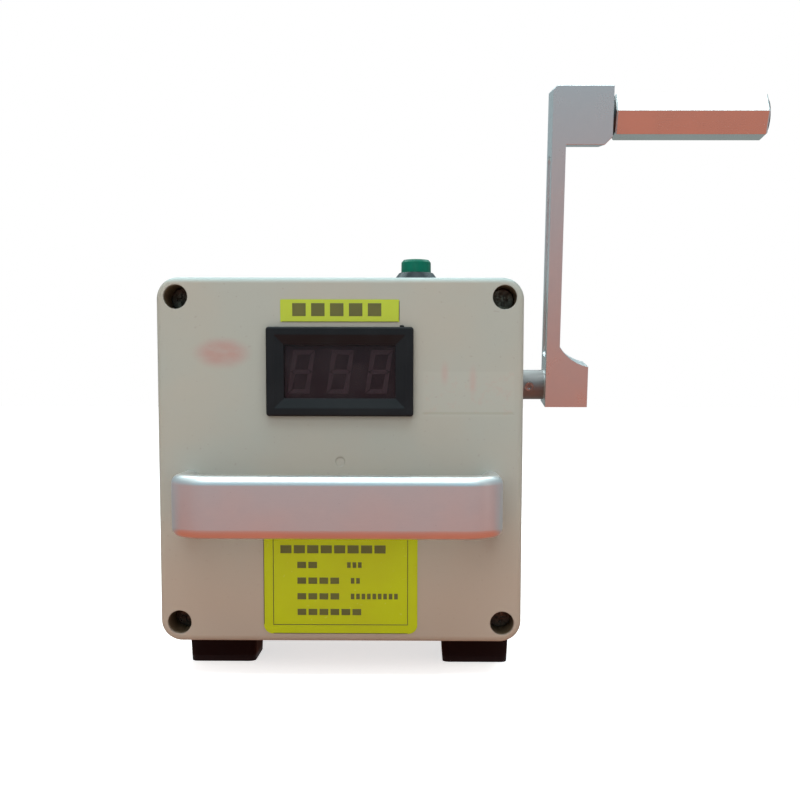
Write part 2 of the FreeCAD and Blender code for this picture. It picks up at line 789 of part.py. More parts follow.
def make_handle_fixings():
    washer_back = f"{HANDLE_SEAT_Y} + handle_washer_thickness"
    centre = (HANDLE_SCREW_X, "0")
    washers = Piece("handle_washers", z=HANDLE_Z)
    washers.add("Y", HANDLE_SEAT_Y, washer_back,
                circle(*centre, "handle_washer_radius"),
                circle(*centre, "handle_screw_radius + shank_play"))
    washers.mirror("X")
    screws = Piece("handle_screws", z=HANDLE_Z)
    screw(screws, "Y", washer_back, "-", "handle_screw", centre)
    screws.mirror("X")


# ---------------------------------------------------------------- meter and labels

WINDOW_Y = f"{METER_Y} + window_sink + window_ledge"
DISPLAY_Y = f"{WINDOW_Y} + window_thickness + segment_thickness + seat_gap"
METER_BOARD_Y = f"{DISPLAY_Y} + display_depth"
METER_END_Y = f"{FRONT} + meter_case_depth"
METER_PIN_Y = f"{METER_END_Y} + meter_pin_length"


def make_meter_case():
    case = Piece("meter_case", z=METER_Z)
    case.add("Y", METER_Y, FRONT, centred("meter_width", "meter_height", "meter_edge_radius"))
    case.smooth("meter_front_radius", lambda edge: flat_at(edge, "y", METER_Y))
    case.add("Y", FRONT, METER_END_Y,
             centred("meter_case_width", "meter_case_height", "meter_edge_radius"))
    bevel = case.cut("Y", METER_Y, f"{METER_Y} + window_sink",
                     rectangle("-window_width / 2 - bevel_width", "-window_height / 2 - bevel_width",
                               "window_width / 2 + bevel_width", "window_height / 2 + bevel_width"))
    bevel.setExpression("TaperAngle", bound("-atan(bevel_width / window_sink)"))
    case.cut("Y", f"{METER_Y} + window_sink", WINDOW_Y,
             centred("window_width", "window_height", "meter_inner_radius"))
    case.cut("Y", WINDOW_Y, f"{WINDOW_Y} + window_thickness",
             centred("window_width + 2 * window_ledge", "window_height + 2 * window_ledge",
                     "meter_inner_radius"))
    case.cut("Y", f"{WINDOW_Y} + window_thickness", METER_END_Y, meter_inside("0"))


def meter_inside(play):
    """The inside of the meter's case, drawn in by a play."""
    loss = f"2 * (meter_case_wall + {play})"
    return centred(f"meter_case_width - {loss}", f"meter_case_height - {loss}", "meter_inner_radius")


def make_meter_inner_pieces():
    window = Piece("meter_window", z=METER_Z)
    window.add("Y", WINDOW_Y, f"{WINDOW_Y} + window_thickness",
               centred("window_width + 2 * (window_ledge - seat_gap)",
                       "window_height + 2 * (window_ledge - seat_gap)", "meter_inner_radius"))
    display = Piece("display_module", z=METER_Z)
    display.add("Y", DISPLAY_Y, METER_BOARD_Y, centred("window_width", "window_height", "meter_inner_radius"))
    board = Piece("meter_board", z=METER_Z)
    board.add("Y", METER_BOARD_Y, f"{METER_BOARD_Y} + board_thickness", meter_inside("seat_gap"))
    back = Piece("meter_back", z=METER_Z)
    back.add("Y", f"{METER_END_Y} - meter_case_wall", METER_END_Y, meter_inside("seat_gap"))
    back.add("Y", f"{METER_BOARD_Y} + board_thickness", METER_END_Y,
             *[centred("meter_rib_width", "meter_rib_height", "meter_inner_radius",
                       x=f"{side}meter_rib_spread") for side in ("", "-")])
    back.add("Y", METER_END_Y, METER_PIN_Y,
             *[rectangle(f"{step} * meter_pin_pitch - meter_pin_width / 2", "-meter_pin_height / 2",
                         f"{step} * meter_pin_pitch + meter_pin_width / 2", "meter_pin_height / 2")
               for step in ("-1", "0", "1")])


def make_display_segments():
    """Three slanted seven-bar figures, each bar a long hexagon."""
    segments = Piece("display_segments", z=METER_Z)
    half = "segment_width / 2"
    wide = "digit_width / 2 - segment_width / 2"
    tall = "digit_height / 4 - segment_width / 4"
    tan_slant = "tan(digit_slant)"

    def bar(digit, x, y, length, upright):
        ends = []
        reach = f"({length} - segment_gap)"
        for lengthwise, across in ((f"-{reach}", "0"), (f"-{reach} + {half}", f"-{half}"),
                                   (f"{reach} - {half}", f"-{half}"), (reach, "0"),
                                   (f"{reach} - {half}", half), (f"-{reach} + {half}", half)):
            dx, dy = (across, lengthwise) if upright else (lengthwise, across)
            height = f"({y} + ({dy}))"
            ends.append((f"{digit} * digit_pitch + ({x}) + ({dx}) + {height} * {tan_slant}", height))
        return polygon(*ends)

    step = "(digit_height / 2 - segment_width / 2)"
    bars = []
    for digit in ("-1", "0", "1"):
        bars += [bar(digit, "0", y, wide, False) for y in (f"-{step}", "0", step)]
        bars += [bar(digit, f"{side}({wide})", f"{level}{step} / 2", tall, True)
                 for side in ("", "-") for level in ("", "-")]
    segments.add("Y", f"{DISPLAY_Y} - segment_thickness", DISPLAY_Y, *bars)


def make_meter_clips():
    """Two sprung wedges that hold the meter's case behind the lid."""
    clips = Piece("meter_clips", z=METER_Z)
    side = "meter_case_width / 2"
    foot = f"{side} + clip_spread"
    lid_back = f"{FRONT} + wall"
    clips.add("Z", "-clip_height / 2", "clip_height / 2",
              polygon((side, f"{lid_back} + clip_length"), (foot, lid_back),
                      (f"{foot} + clip_thickness", lid_back),
                      (f"{side} + clip_thickness", f"{lid_back} + clip_length")))
    clips.mirror("X")


def make_labels():
    meter_label = Piece("meter_label",
                        z=f"{METER_Z} + (meter_height + meter_label_height) / 2 + meter_label_gap")
    meter_label.add("Y", f"{FRONT} - label_thickness", FRONT,
                    centred("meter_label_width", "meter_label_height", "meter_label_radius"))
    rating_label = Piece("rating_label", z="foot_height + rating_label_rise + rating_label_height / 2")
    rating_label.add("Y", f"{FRONT} - label_thickness", FRONT,
                     centred("rating_label_width", "rating_label_height", "rating_label_radius"))


# ---------------------------------------------------------------- push button

BUTTON_BASE_Z = "-button_barrel_length"
CAP_FLOOR = "-button_travel + cap_sink"


def button_piece(label):
    return Piece(label, x=BUTTON_X, z=BOX_TOP)


def make_button():
    bore = "button_cap_radius + seat_gap"
    bezel = button_piece("button_bezel")
    bezel.turned("Z", ("0", "button_barrel_radius"), ("0", "button_bezel_radius"),
                 ("bezel_shoulder", "button_bezel_radius"),
                 ("button_bezel_height", "button_cap_radius + bezel_rim"), ("button_bezel_height", bore),
                 ("-button_barrel_length", bore), ("-button_barrel_length", "button_barrel_radius"))
    cap = button_piece("button_cap")
    top = "button_bezel_height + button_cap_rise"
    stem_end = f"{BUTTON_BASE_Z} + button_base_height - button_travel"
    cap.turned("Z", (top, "0"), (top, "button_cap_radius - cap_bevel"),
               (f"{top} - cap_bevel", "button_cap_radius - cap_draft"),
               (CAP_FLOOR, "button_cap_radius"), (CAP_FLOOR, "button_stem_radius"),
               (stem_end, "button_stem_radius"), (stem_end, "0"))
    nut = button_piece("button_nut")
    nut.add("Z", "-wall - button_nut_height", "-wall", hexagon("0", "0", "2 * button_nut_radius"),
            circle("0", "0", "button_barrel_radius + slip_gap"))
    block = button_piece("button_contact_block")
    block_top = f"{BUTTON_BASE_Z} + button_base_height"
    block.add("Z", BUTTON_BASE_Z, block_top, circle("0", "0", f"{bore} - seat_gap"))
    block.cut("Z", f"{BUTTON_BASE_Z} + contact_bore_floor", block_top,
              circle("0", "0", "button_stem_radius + seat_gap"))
    flange = f"{BUTTON_BASE_Z} - button_base_flange"
    block.add("Z", flange, BUTTON_BASE_Z, circle("0", "0", "button_barrel_radius"))
    block.add("Z", f"{flange} - button_pin_length", flange,
              *[rectangle(f"{side} button_pin_spread - contact_pin_width / 2", "-contact_pin_depth / 2",
                          f"{side} button_pin_spread + contact_pin_width / 2", "contact_pin_depth / 2")
                for side in ("", "-")])
    make_button_spring(block_top)


def make_button_spring(seat):
    """A spring of square wire between the contact block and the cap's underside."""
    wire = amount("spring_wire_radius")
    radius = amount("spring_radius")
    rise = amount(f"{CAP_FLOOR} - ({seat}) - 2 * spring_wire_radius")
    helix = Part.makeHelix(rise / amount("spring_turns"), rise, radius)
    corners = [Vector(radius + a * wire, 0, b * wire)
               for a, b in ((1, 1), (-1, 1), (-1, -1), (1, -1), (1, 1))]
    spring = Part.Wire(helix.Edges).makePipeShell([Part.makePolygon(corners)], True, True)
    solid_piece("button_spring", spring, x=BUTTON_X, z=f"{BOX_TOP} + {seat} + spring_wire_radius")


# ---------------------------------------------------------------- crank and grip

def crank_piece(label):
    return Piece(label, y="shaft_y", z=SHAFT_Z, turn="crank_lean")


def make_crank_arm():
    """The crank: an arm between a lower block on the shaft and an upper block for the grip."""
    arm = crank_piece("crank_arm")
    outer = f"({CRANK_X} + crank_arm_thickness)"
    lower_side = f"({CRANK_X} + crank_lower_width)"
    upper_side = f"({CRANK_X} + crank_upper_width)"
    upper_low = "(crank_radius - crank_upper_height / 2)"
    upper_high = "(crank_radius + crank_upper_height / 2)"
    scoop_top = "(crank_lower_rise + crank_scoop_rise)"
    half = "crank_depth / 2"
    arm.add("Y", f"-{half}", half,
            polygon((CRANK_X, "-crank_lower_drop"), (lower_side, "-crank_lower_drop"),
                    (lower_side, "crank_lower_rise"), (outer, scoop_top), (CRANK_X, scoop_top)))
    # the scoop is an arc through the lower block's outer corner and the foot of the arm
    run = "(crank_lower_width - crank_arm_thickness)"
    chord = f"sqrt({run} ^ 2 + crank_scoop_rise ^ 2)"
    offset = f"sqrt(crank_scoop_radius ^ 2 - ({chord} / 2) ^ 2) / {chord}"
    arm.cut("Y", f"-{half}", half,
            circle(f"({outer} + {lower_side}) / 2 + crank_scoop_rise * {offset}",
                   f"({scoop_top} + crank_lower_rise) / 2 + {run} * {offset}", "crank_scoop_radius"))
    arm.add("Y", f"-{half}", half,
            polygon((CRANK_X, "-crank_lower_drop"), (outer, "-crank_lower_drop"), (outer, upper_low),
                    (upper_side, upper_low), (upper_side, upper_high), (CRANK_X, upper_high)))
    for corner, side, height in (("crank_top_corner", CRANK_X, upper_high),
                                 ("crank_end_corner", upper_side, upper_low)):
        arm.smooth(corner, lambda edge: along(edge, "y") and at(edge, "x", side) and at(edge, "z", height),
                   kind="Chamfer")
    arm.cut("X", CRANK_X, f"{CRANK_X} + crank_recess_depth",
            centred("crank_recess_width", "crank_recess_end - crank_recess_start", "crank_recess_corner",
                    y="(crank_recess_end + crank_recess_start) / 2"))
    arm.add("X", "housing_width / 2 + bush_flange + boss_gap", f"{CRANK_X} + crank_recess_depth",
            circle("0", "0", "boss_radius"))
    arm.cut("X", "housing_width / 2", CRANK_BORE_END, circle("0", "0", "shaft_radius + slip_gap"))
    arm.cut("Y", "-boss_radius - seat_gap", "0", circle(GRUB_X, "0", "grub_radius + slip_gap"))
    arm.cut("X", SPINDLE_X, upper_side, circle("0", "crank_radius", "spindle_radius + slip_gap"))


def make_crank_small_pieces():
    grub = crank_piece("crank_grub_screw")
    grub.add("Y", "-boss_radius", "-shaft_radius - seat_gap", circle(GRUB_X, "0", "grub_radius"))
    grub.cut("Y", "-boss_radius", "-boss_radius + grub_socket_depth", hexagon(GRUB_X, "0", "2 * grub_socket"))
    washer = crank_piece("grip_washer")
    side = f"{CRANK_X} + crank_upper_width"
    washer.add("X", side, f"{side} + grip_washer_thickness",
               circle("0", "crank_radius", "grip_washer_radius"),
               circle("0", "crank_radius", "spindle_radius + slip_gap"))
    spindle = crank_piece("grip_spindle")
    spindle.turned("X", (SPINDLE_X, "0"), (SPINDLE_X, "spindle_radius"),
                   (f"{SPINDLE_END_X} - spindle_head_height", "spindle_radius"),
                   (f"{SPINDLE_END_X} - spindle_head_height", "spindle_head_radius"),
                   (SPINDLE_END_X, "spindle_head_radius"), (SPINDLE_END_X, "0"), centre=("0", "crank_radius"))


def grip_piece(label):
    """The grip lies on the spindle's axis, turned about it as it was let go."""
    return Piece(label, y=GRIP_Y, z=GRIP_Z, turn="grip_turn")


def make_grip():
    grip = grip_piece("crank_grip")
    grip.add("X", GRIP_X, GRIP_END_X, hexagon("0", "0", "grip_flats"))
    grip.smooth("grip_edge", lambda edge: flat_at(edge, "x", GRIP_X) or flat_at(edge, "x", GRIP_END_X),
                kind="Chamfer")
    grip.cut("X", GRIP_X, GRIP_END_X, circle("0", "0", "spindle_radius + running_gap"))
    head_room = f"{SPINDLE_END_X} - spindle_head_height - seat_gap"
    grip.cut("X", head_room, GRIP_END_X, circle("0", "0", "spindle_head_radius + end_play"))
    grip.cut("X", f"{GRIP_END_X} - grip_cap_thickness", GRIP_END_X, circle("0", "0", "grip_cap_radius"))
    cap = grip_piece("grip_end_cap")
    cap.add("X", f"{GRIP_END_X} - grip_cap_thickness", f"{GRIP_END_X} + grip_cap_rise",
            circle("0", "0", "grip_cap_radius - slip_gap"))


# ---------------------------------------------------------------- gears

def involute(angle):
    return math.tan(angle) - angle


def gear_blank(teeth, module, start, width, turn=0):
    """A spur gear about X whose flanks have their points on an involute; a tooth points down."""
    pressure = math.radians(amount("pressure_angle"))
    pitch_radius = teeth * module / 2
    base_radius = pitch_radius * math.cos(pressure)
    root_radius = pitch_radius - 1.25 * module
    tip_radius = pitch_radius + module
    half_tooth = (math.pi * module / 2 - amount("backlash")) / (2 * pitch_radius)

    def half_angle(radius):
        spread = 0 if radius <= base_radius else involute(math.acos(base_radius / radius))
        return half_tooth + involute(pressure) - spread

    def point(radius, angle):
        return Vector(start, radius * math.sin(angle), -radius * math.cos(angle))

    flank_start = max(root_radius, base_radius)
    radii = [flank_start, (flank_start + tip_radius) / 2, tip_radius]
    edges = []
    for tooth in range(teeth):
        middle = 2 * math.pi * tooth / teeth + math.radians(turn)
        rise = [point(radius, middle - half_angle(radius)) for radius in radii]
        fall = [point(radius, middle + half_angle(radius)) for radius in reversed(radii)]
        if root_radius < base_radius:
            rise.insert(0, point(root_radius, middle - half_angle(root_radius)))
            fall.append(point(root_radius, middle + half_angle(root_radius)))
        corners = rise + fall
        edges += [Part.LineSegment(a, b).toShape() for a, b in zip(corners, corners[1:])]
        next_middle = middle + 2 * math.pi / teeth
        next_foot = point(min(root_radius, flank_start), next_middle - half_angle(root_radius))
        edges.append(Part.LineSegment(corners[-1], next_foot).toShape())
    return Part.Face(Part.Wire(edges)).extrude(Vector(width, 0, 0))


def round_bar(start, end, radius, y=0, z=0):
    """A plain cylinder along X."""
    return Part.makeCylinder(radius, end - start, Vector(start, y, z), Vector(1, 0, 0))


def make_gears():
    first_teeth, first_pinion = round(amount("first_wheel_teeth")), round(amount("first_pinion_teeth"))
    second_teeth, second_pinion = round(amount("second_wheel_teeth")), round(amount("second_pinion_teeth"))
    first_module, second_module = amount("first_module"), amount("second_module")
    slip = amount("slip_gap")

    start, width = amount(FIRST_WHEEL_X), amount("first_wheel_width")
    hub_start = start - amount("wheel_hub_length")
    wheel = gear_blank(first_teeth, first_module, start, width)
    wheel = wheel.fuse(round_bar(hub_start, start + width, amount("wheel_hub_radius")))
    wheel = wheel.cut(round_bar(hub_start, start + width, amount("shaft_radius") + slip))
    for hole in range(round(amount("web_holes"))):
        angle = 2 * math.pi * hole / round(amount("web_holes"))
        ring = amount("web_hole_ring")
        wheel = wheel.cut(round_bar(start, start + width, amount("web_hole_radius"),
                                    ring * math.sin(angle), ring * math.cos(angle)))
    pin_x = amount(GEAR_PIN_X)
    pin_hole = Part.makeCylinder(amount("gear_pin_radius") + slip, 2 * amount("wheel_hub_radius"),
                                 Vector(pin_x, 0, -amount("wheel_hub_radius")), Vector(0, 0, 1))
    solid_piece("input_gear", wheel.cut(pin_hole), y="shaft_y", z=SHAFT_Z)

    pinion_start = start - amount("pinion_overlap")
    pinion_width = width + 2 * amount("pinion_overlap")
    wheel_start, wheel_width = amount(SECOND_WHEEL_X), amount("second_wheel_width")
    idler_start = amount(f"{INNER_PLATE_X} + plate_thickness + end_play")
    idler_end = amount(f"{OUTER_PLATE_X} - end_play")
    idler = gear_blank(first_pinion, first_module, pinion_start, pinion_width, 180 / first_pinion)
    idler = idler.fuse(gear_blank(second_teeth, second_module, wheel_start, wheel_width))
    idler = idler.fuse(round_bar(idler_start, idler_end, amount("idler_hub_radius")))
    idler = idler.cut(round_bar(idler_start, idler_end, amount("idler_pin_radius + running_gap")))
    solid_piece("idler_gear", idler, y="shaft_y", z=IDLER_Z)

    rotor_start = wheel_start - amount("pinion_overlap")
    rotor_width = wheel_width + 2 * amount("pinion_overlap")
    pinion = gear_blank(second_pinion, second_module, rotor_start, rotor_width, 180 / second_pinion)
    bore = round_bar(rotor_start, rotor_start + rotor_width, amount("rotor_shaft_radius") + slip)
    solid_piece("rotor_pinion", pinion.cut(bore), y="shaft_y", z=ROTOR_Z)


def make_gear_pin():
    gear_pin = Piece("gear_pin", y="shaft_y", z=SHAFT_Z)
    gear_pin.add("Z", "-wheel_hub_radius + seat_gap", "wheel_hub_radius - seat_gap",
                 circle(GEAR_PIN_X, "0", "gear_pin_radius"))


# ---------------------------------------------------------------- gearbox

PLATE_LOW = "foot_height + plate_rise"


def spacer_places():
    """The four spacers' places across X, as expressions in the object's own frame."""
    reach = "(plate_half_width - spacer_inset)"
    top = f"{BOX_TOP} - plate_top_drop - spacer_inset"
    bottom = f"{PLATE_LOW} + spacer_inset"
    return [(f"shaft_y {side} {reach}", height) for side in "+-" for height in (top, bottom)]


def make_plate(label, start, *holes):
    plate = Piece(label)
    plate.add("X", start, f"{start} + plate_thickness",
              rounded("shaft_y - plate_half_width", PLATE_LOW, "shaft_y + plate_half_width",
                      f"{BOX_TOP} - plate_top_drop", "plate_corner"))
    screws = [circle(y, z, "small_screw_radius + shank_play") for y, z in spacer_places()]
    plate.cut("X", start, f"{start} + plate_thickness", *screws, *holes,
              circle("shaft_y", SHAFT_Z, "bush_radius + slip_gap"),
              circle("shaft_y", IDLER_Z, "idler_pin_radius + slip_gap"))


def make_gearbox():
    make_plate("outer_gear_plate", OUTER_PLATE_X)
    generator_screws = [circle(f"shaft_y {side} generator_screw_pitch / 2", ROTOR_Z,
                               "small_screw_radius + shank_play") for side in "+-"]
    make_plate("inner_gear_plate", INNER_PLATE_X,
               circle("shaft_y", ROTOR_Z, "can_nose_radius + slip_gap"), *generator_screws)

    spacers = Piece("plate_spacers")
    ends = (f"{INNER_PLATE_X} + plate_thickness", OUTER_PLATE_X)
    spacers.add("X", *ends, *[circle(y, z, "spacer_radius") for y, z in spacer_places()],
                *[circle(y, z, "small_screw_radius + pilot_allowance") for y, z in spacer_places()])

    wall_screws = Piece("gearbox_wall_screws")
    for place_across in spacer_places():
        screw(wall_screws, "X", "housing_width / 2", "-", "wall_screw", place_across)

    shaft = Piece("input_shaft", y="shaft_y", z=SHAFT_Z)
    groove = f"{INNER_PLATE_X} - end_play - clip_ring_width"
    tail = f"{groove} - shaft_tail"
    shaft.turned("X", (tail, "0"), (tail, "shaft_radius"), (groove, "shaft_radius"),
                 (groove, "shaft_radius - clip_groove_depth"),
                 (f"{groove} + clip_ring_width", "shaft_radius - clip_groove_depth"),
                 (f"{groove} + clip_ring_width", "shaft_radius"),
                 (f"{CRANK_BORE_END} - seat_gap", "shaft_radius"), (f"{CRANK_BORE_END} - seat_gap", "0"))
    shaft.cut("Z", "-shaft_radius", "shaft_radius", circle(GEAR_PIN_X, "0", "gear_pin_radius + slip_gap"))
    clip = Piece("shaft_clip", y="shaft_y", z=SHAFT_Z)
    clip.add("X", groove, f"{groove} + clip_ring_width", circle("0", "0", "clip_ring_radius"),
             circle("0", "0", "shaft_radius - clip_groove_depth + slip_gap"))
    clip.cut("X", groove, f"{groove} + clip_ring_width",
             rectangle("-clip_mouth / 2", "0", "clip_mouth / 2", "clip_ring_radius + seat_gap"))

    idler_pin = Piece("idler_pin", y="shaft_y", z=IDLER_Z)
    idler_pin.add("X", INNER_PLATE_X, f"{OUTER_PLATE_X} + plate_thickness",
                  circle("0", "0", "idler_pin_radius"))


def make_bushes():
    """Sintered bushes: two with flanges for the crank's shaft, two plain ones for the rotor."""
    bushes = Piece("shaft_bushes")
    bore = "shaft_radius + running_gap"
    plate_face = f"{INNER_PLATE_X} + plate_thickness"
    for tail, face in ((OUTER_PLATE_X, "housing_width / 2"), (INNER_PLATE_X, plate_face)):
        bushes.turned("X", (tail, bore), (tail, "bush_radius"), (face, "bush_radius"),
                      (face, "bush_flange_radius"), (f"{face} + bush_flange", "bush_flange_radius"),
                      (f"{face} + bush_flange", bore), centre=("shaft_y", SHAFT_Z))
    for start, end in ((CAN_X, f"{CAN_X} + end_bell_thickness"), (f"{INNER_PLATE_X} - can_wall", plate_face)):
        bushes.add("X", start, end, circle("shaft_y", ROTOR_Z, "rotor_bush_radius"),
                   circle("shaft_y", ROTOR_Z, "rotor_shaft_radius + running_gap"))


def make_machine_screws():
    """The like screws inside: through the inner plate, into the generator and under the board."""
    screws = Piece("machine_screws")
    for place_across in spacer_places():
        screw(screws, "X", INNER_PLATE_X, "+", "small_screw", place_across)
    for side in "+-":
        screw(screws, "X", f"{INNER_PLATE_X} + plate_thickness", "-", "generator_screw",
              (f"shaft_y {side} generator_screw_pitch / 2", ROTOR_Z))
    for place_across in board_screw_places():
        screw(screws, "Y", BOARD_Y, "+", "board_screw", place_across)


# ---------------------------------------------------------------- generator

CAN_X = f"{INNER_PLATE_X} - can_length"
CAN_INSIDE = "can_radius - can_wall"
MAGNET_INSIDE = f"{CAN_INSIDE} - magnet_thickness"
CORE_RADIUS = f"{MAGNET_INSIDE} - air_gap"
CORE_X = f"{CAN_X} + can_length / 2 - core_length / 2 + core_shift"
COMMUTATOR_X = f"{CORE_X} - winding_overhang - commutator_gap - commutator_length"


def generator_piece(label):
    return Piece(label, y="shaft_y", z=ROTOR_Z)


def make_generator_shell():
    can = generator_piece("generator_can")
    can.turned("X", (CAN_X, CAN_INSIDE), (CAN_X, "can_radius"), (INNER_PLATE_X, "can_radius"),
               (INNER_PLATE_X, "can_nose_radius"), (f"{INNER_PLATE_X} + plate_thickness", "can_nose_radius"),
               (f"{INNER_PLATE_X} + plate_thickness", "rotor_bush_radius + slip_gap"),
               (f"{INNER_PLATE_X} - can_wall", "rotor_bush_radius + slip_gap"),
               (f"{INNER_PLATE_X} - can_wall", CAN_INSIDE))
    can.cut("X", f"{INNER_PLATE_X} - can_wall", INNER_PLATE_X,
            *[circle(f"{side}generator_screw_pitch / 2", "0", "small_screw_radius + pilot_allowance")
              for side in ("", "-")])
    magnets = generator_piece("field_magnets")
    start = f"{CORE_X} + core_length / 2 - magnet_length / 2"
    ring = magnets.turned("X", (start, MAGNET_INSIDE), (start, f"{CAN_INSIDE} - slip_gap"),
                          (f"{start} + magnet_length", f"{CAN_INSIDE} - slip_gap"),
                          (f"{start} + magnet_length", MAGNET_INSIDE))
    ring.Midplane = True
    ring.setExpression("Angle", bound("magnet_angle"))
    magnets.mirror("Z")

    bell = generator_piece("end_bell")
    inside = f"{CAN_X} + end_bell_thickness"
    bell.turned("X", (CAN_X, "rotor_bush_radius + slip_gap"), (CAN_X, f"{CAN_INSIDE} - slip_gap"),
                (inside, f"{CAN_INSIDE} - slip_gap"), (inside, "rotor_bush_radius + slip_gap"))
    holder = "brush_width / 2 + brush_holder_wall"
    brush_start = f"{COMMUTATOR_X} + commutator_length / 2 - brush_width / 2"
    reach = "commutator_radius + brush_reach"
    for side in ("", "-"):
        ends = sorted((f"{side}({reach})", f"{side}({reach} + brush_length)"), key=amount)
        bell.add("Y", *ends,
                 rectangle(inside, f"-({holder})", f"{brush_start} + brush_width + brush_holder_wall", holder))
        bell.cut("Y", *ends, rectangle(brush_start, "-brush_width / 2", f"{brush_start} + brush_width",
                                       "brush_width / 2"))
    brushes = generator_piece("brushes")
    brushes.add("Y", "commutator_radius + seat_gap", "commutator_radius + seat_gap + brush_length",
                rectangle(f"{brush_start} + slip_gap", "-brush_width / 2 + slip_gap",
                          f"{brush_start} + brush_width - slip_gap", "brush_width / 2 - slip_gap"))
    brushes.mirror("Y")
    bell.add("X", f"{CAN_X} - terminal_length", CAN_X,
             *[rectangle(f"{side}terminal_spread - terminal_width / 2", "-terminal_thickness / 2",
                         f"{side}terminal_spread + terminal_width / 2", "terminal_thickness / 2")
               for side in ("", "-")])


def make_rotor():
    shaft = generator_piece("rotor_shaft")
    pinion_end = f"{SECOND_WHEEL_X} + second_wheel_width + pinion_overlap"
    shaft.add("X", f"{CAN_X} - rotor_tail", f"{pinion_end} + rotor_end",
              circle("0", "0", "rotor_shaft_radius"))
    bore = circle("0", "0", "rotor_shaft_radius + slip_gap")
    core = generator_piece("armature_core")
    core_end = f"{CORE_X} + core_length"
    core.add("X", CORE_X, core_end, circle("0", "0", CORE_RADIUS), bore)
    mouth, half = "slot_mouth / 2", "slot_width / 2"
    lip = f"{CORE_RADIUS} - winding_drop"
    over = f"{CORE_RADIUS} + seat_gap"
    slot = core.cut("X", CORE_X, core_end,
                    polygon((f"-{mouth}", over), (f"-{mouth}", lip), (f"-{half}", lip),
                            (f"-{half}", "slot_floor_radius"), (half, "slot_floor_radius"), (half, lip),
                            (mouth, lip), (mouth, over)))
    core.around("X", "core_slots", slot)
    coils = generator_piece("armature_windings")
    room = "winding_clearance"
    bar = coils.add("X", f"{CORE_X} - winding_overhang", f"{core_end} + winding_overhang",
                    rectangle(f"-{half} + {room}", f"slot_floor_radius + {room}", f"{half} - {room}",
                              f"{lip} - {room}"))
    coils.around("X", "core_slots", bar)
    for start, end in ((f"{CORE_X} - winding_overhang", CORE_X),
                       (core_end, f"{core_end} + winding_overhang")):
        coils.add("X", start, end, circle("0", "0", f"{lip} - {room}"), bore)
    commutator = generator_piece("commutator")
    commutator.add("X", COMMUTATOR_X, f"{COMMUTATOR_X} + commutator_length",
                   circle("0", "0", "commutator_radius"), bore)


# ---------------------------------------------------------------- control board and sockets

BLOCK_HOLES = [f"{BOARD_MIDDLE} + {step} * block_hole_pitch" for step in (-1.5, -0.5, 0.5, 1.5)]


def board_screw_places():
    """The four board screws' places across Y, as expressions in the object's own frame."""
    board_right = f"{BOARD_LEFT} + board_width"
    return [(x, z) for x in (f"{BOARD_LEFT} + board_screw_inset", f"{board_right} - board_screw_inset")
            for z in (f"{BOARD_LOW} + board_screw_inset", f"{BOARD_TOP} - board_screw_inset")]


def make_board():
    board = Piece("control_board")
    board.add("Y", BOARD_Y, f"{BOARD_Y} + board_thickness",
              rounded(BOARD_LEFT, BOARD_LOW, f"{BOARD_LEFT} + board_width", BOARD_TOP, "board_corner"))
    board.cut("Y", BOARD_Y, f"{BOARD_Y} + board_thickness",
              *[circle(x, z, "small_screw_radius + shank_play") for x, z in board_screw_places()])
    capacitor = Piece("smoothing_capacitor")
    capacitor.turned("Y", (BOARD_Y, "0"), (BOARD_Y, "capacitor_radius"),
                     (f"{BOARD_Y} - capacitor_height + capacitor_bevel", "capacitor_radius"),
                     (f"{BOARD_Y} - capacitor_height", "capacitor_radius - capacitor_bevel"),
                     (f"{BOARD_Y} - capacitor_height", "0"),
                     centre=(f"{BOARD_LEFT} + capacitor_x", f"{BOARD_TOP} - capacitor_drop"))
    rectifier = Piece("bridge_rectifier")
    rectifier.add("Z", f"{BOARD_TOP} - rectifier_drop", f"{BOARD_TOP} - rectifier_drop + rectifier_thickness",
                  rectangle(f"{BOARD_LEFT} + rectifier_x", f"{BOARD_Y} - rectifier_height",
                            f"{BOARD_LEFT} + rectifier_x + rectifier_width", BOARD_Y))
    sink = Piece("regulator_heat_sink")
    sink_x, sink_z = f"{BOARD_LEFT} + sink_x", f"{BOARD_TOP} - sink_drop"
    sink.add("Y", f"{BOARD_Y} - sink_depth", BOARD_Y,
             rectangle(sink_x, sink_z, f"{sink_x} + sink_width", f"{sink_z} + sink_fin"))
    fin = sink.add("Y", f"{BOARD_Y} - sink_depth", BOARD_Y,
                   rectangle(sink_x, sink_z, f"{sink_x} + sink_fin", f"{sink_z} + sink_height"))
    row = sink.body.newObject("PartDesign::LinearPattern", "fins")
    row.Originals = [fin]
    row.Direction = (next(one for one in sink.body.Origin.OriginFeatures if one.Role == "X_Axis"), [""])
    row.setExpression("Length", bound("sink_width - sink_fin"))
    row.setExpression("Occurrences", bound("sink_fins"))
    sink.body.Tip = row
    block = Piece("board_terminal_block")
    block_low = f"{BOARD_LOW} + block_lift"
    block.add("Y", f"{BOARD_Y} - block_depth", BOARD_Y,
              rectangle(f"{BOARD_MIDDLE} - block_width / 2", block_low, f"{BOARD_MIDDLE} + block_width / 2",
                        f"{block_low} + block_height"))
    block.cut("Y", f"{BOARD_Y} - block_depth", f"{BOARD_Y} - block_depth + block_hole_depth",
              *[circle(hole, f"{block_low} + block_height / 2", "lead_radius + seat_gap")
                for hole in BLOCK_HOLES])


def socket_centre(side):
    return f"{SOCKET_X} {side} socket_spacing / 2", SOCKET_Z


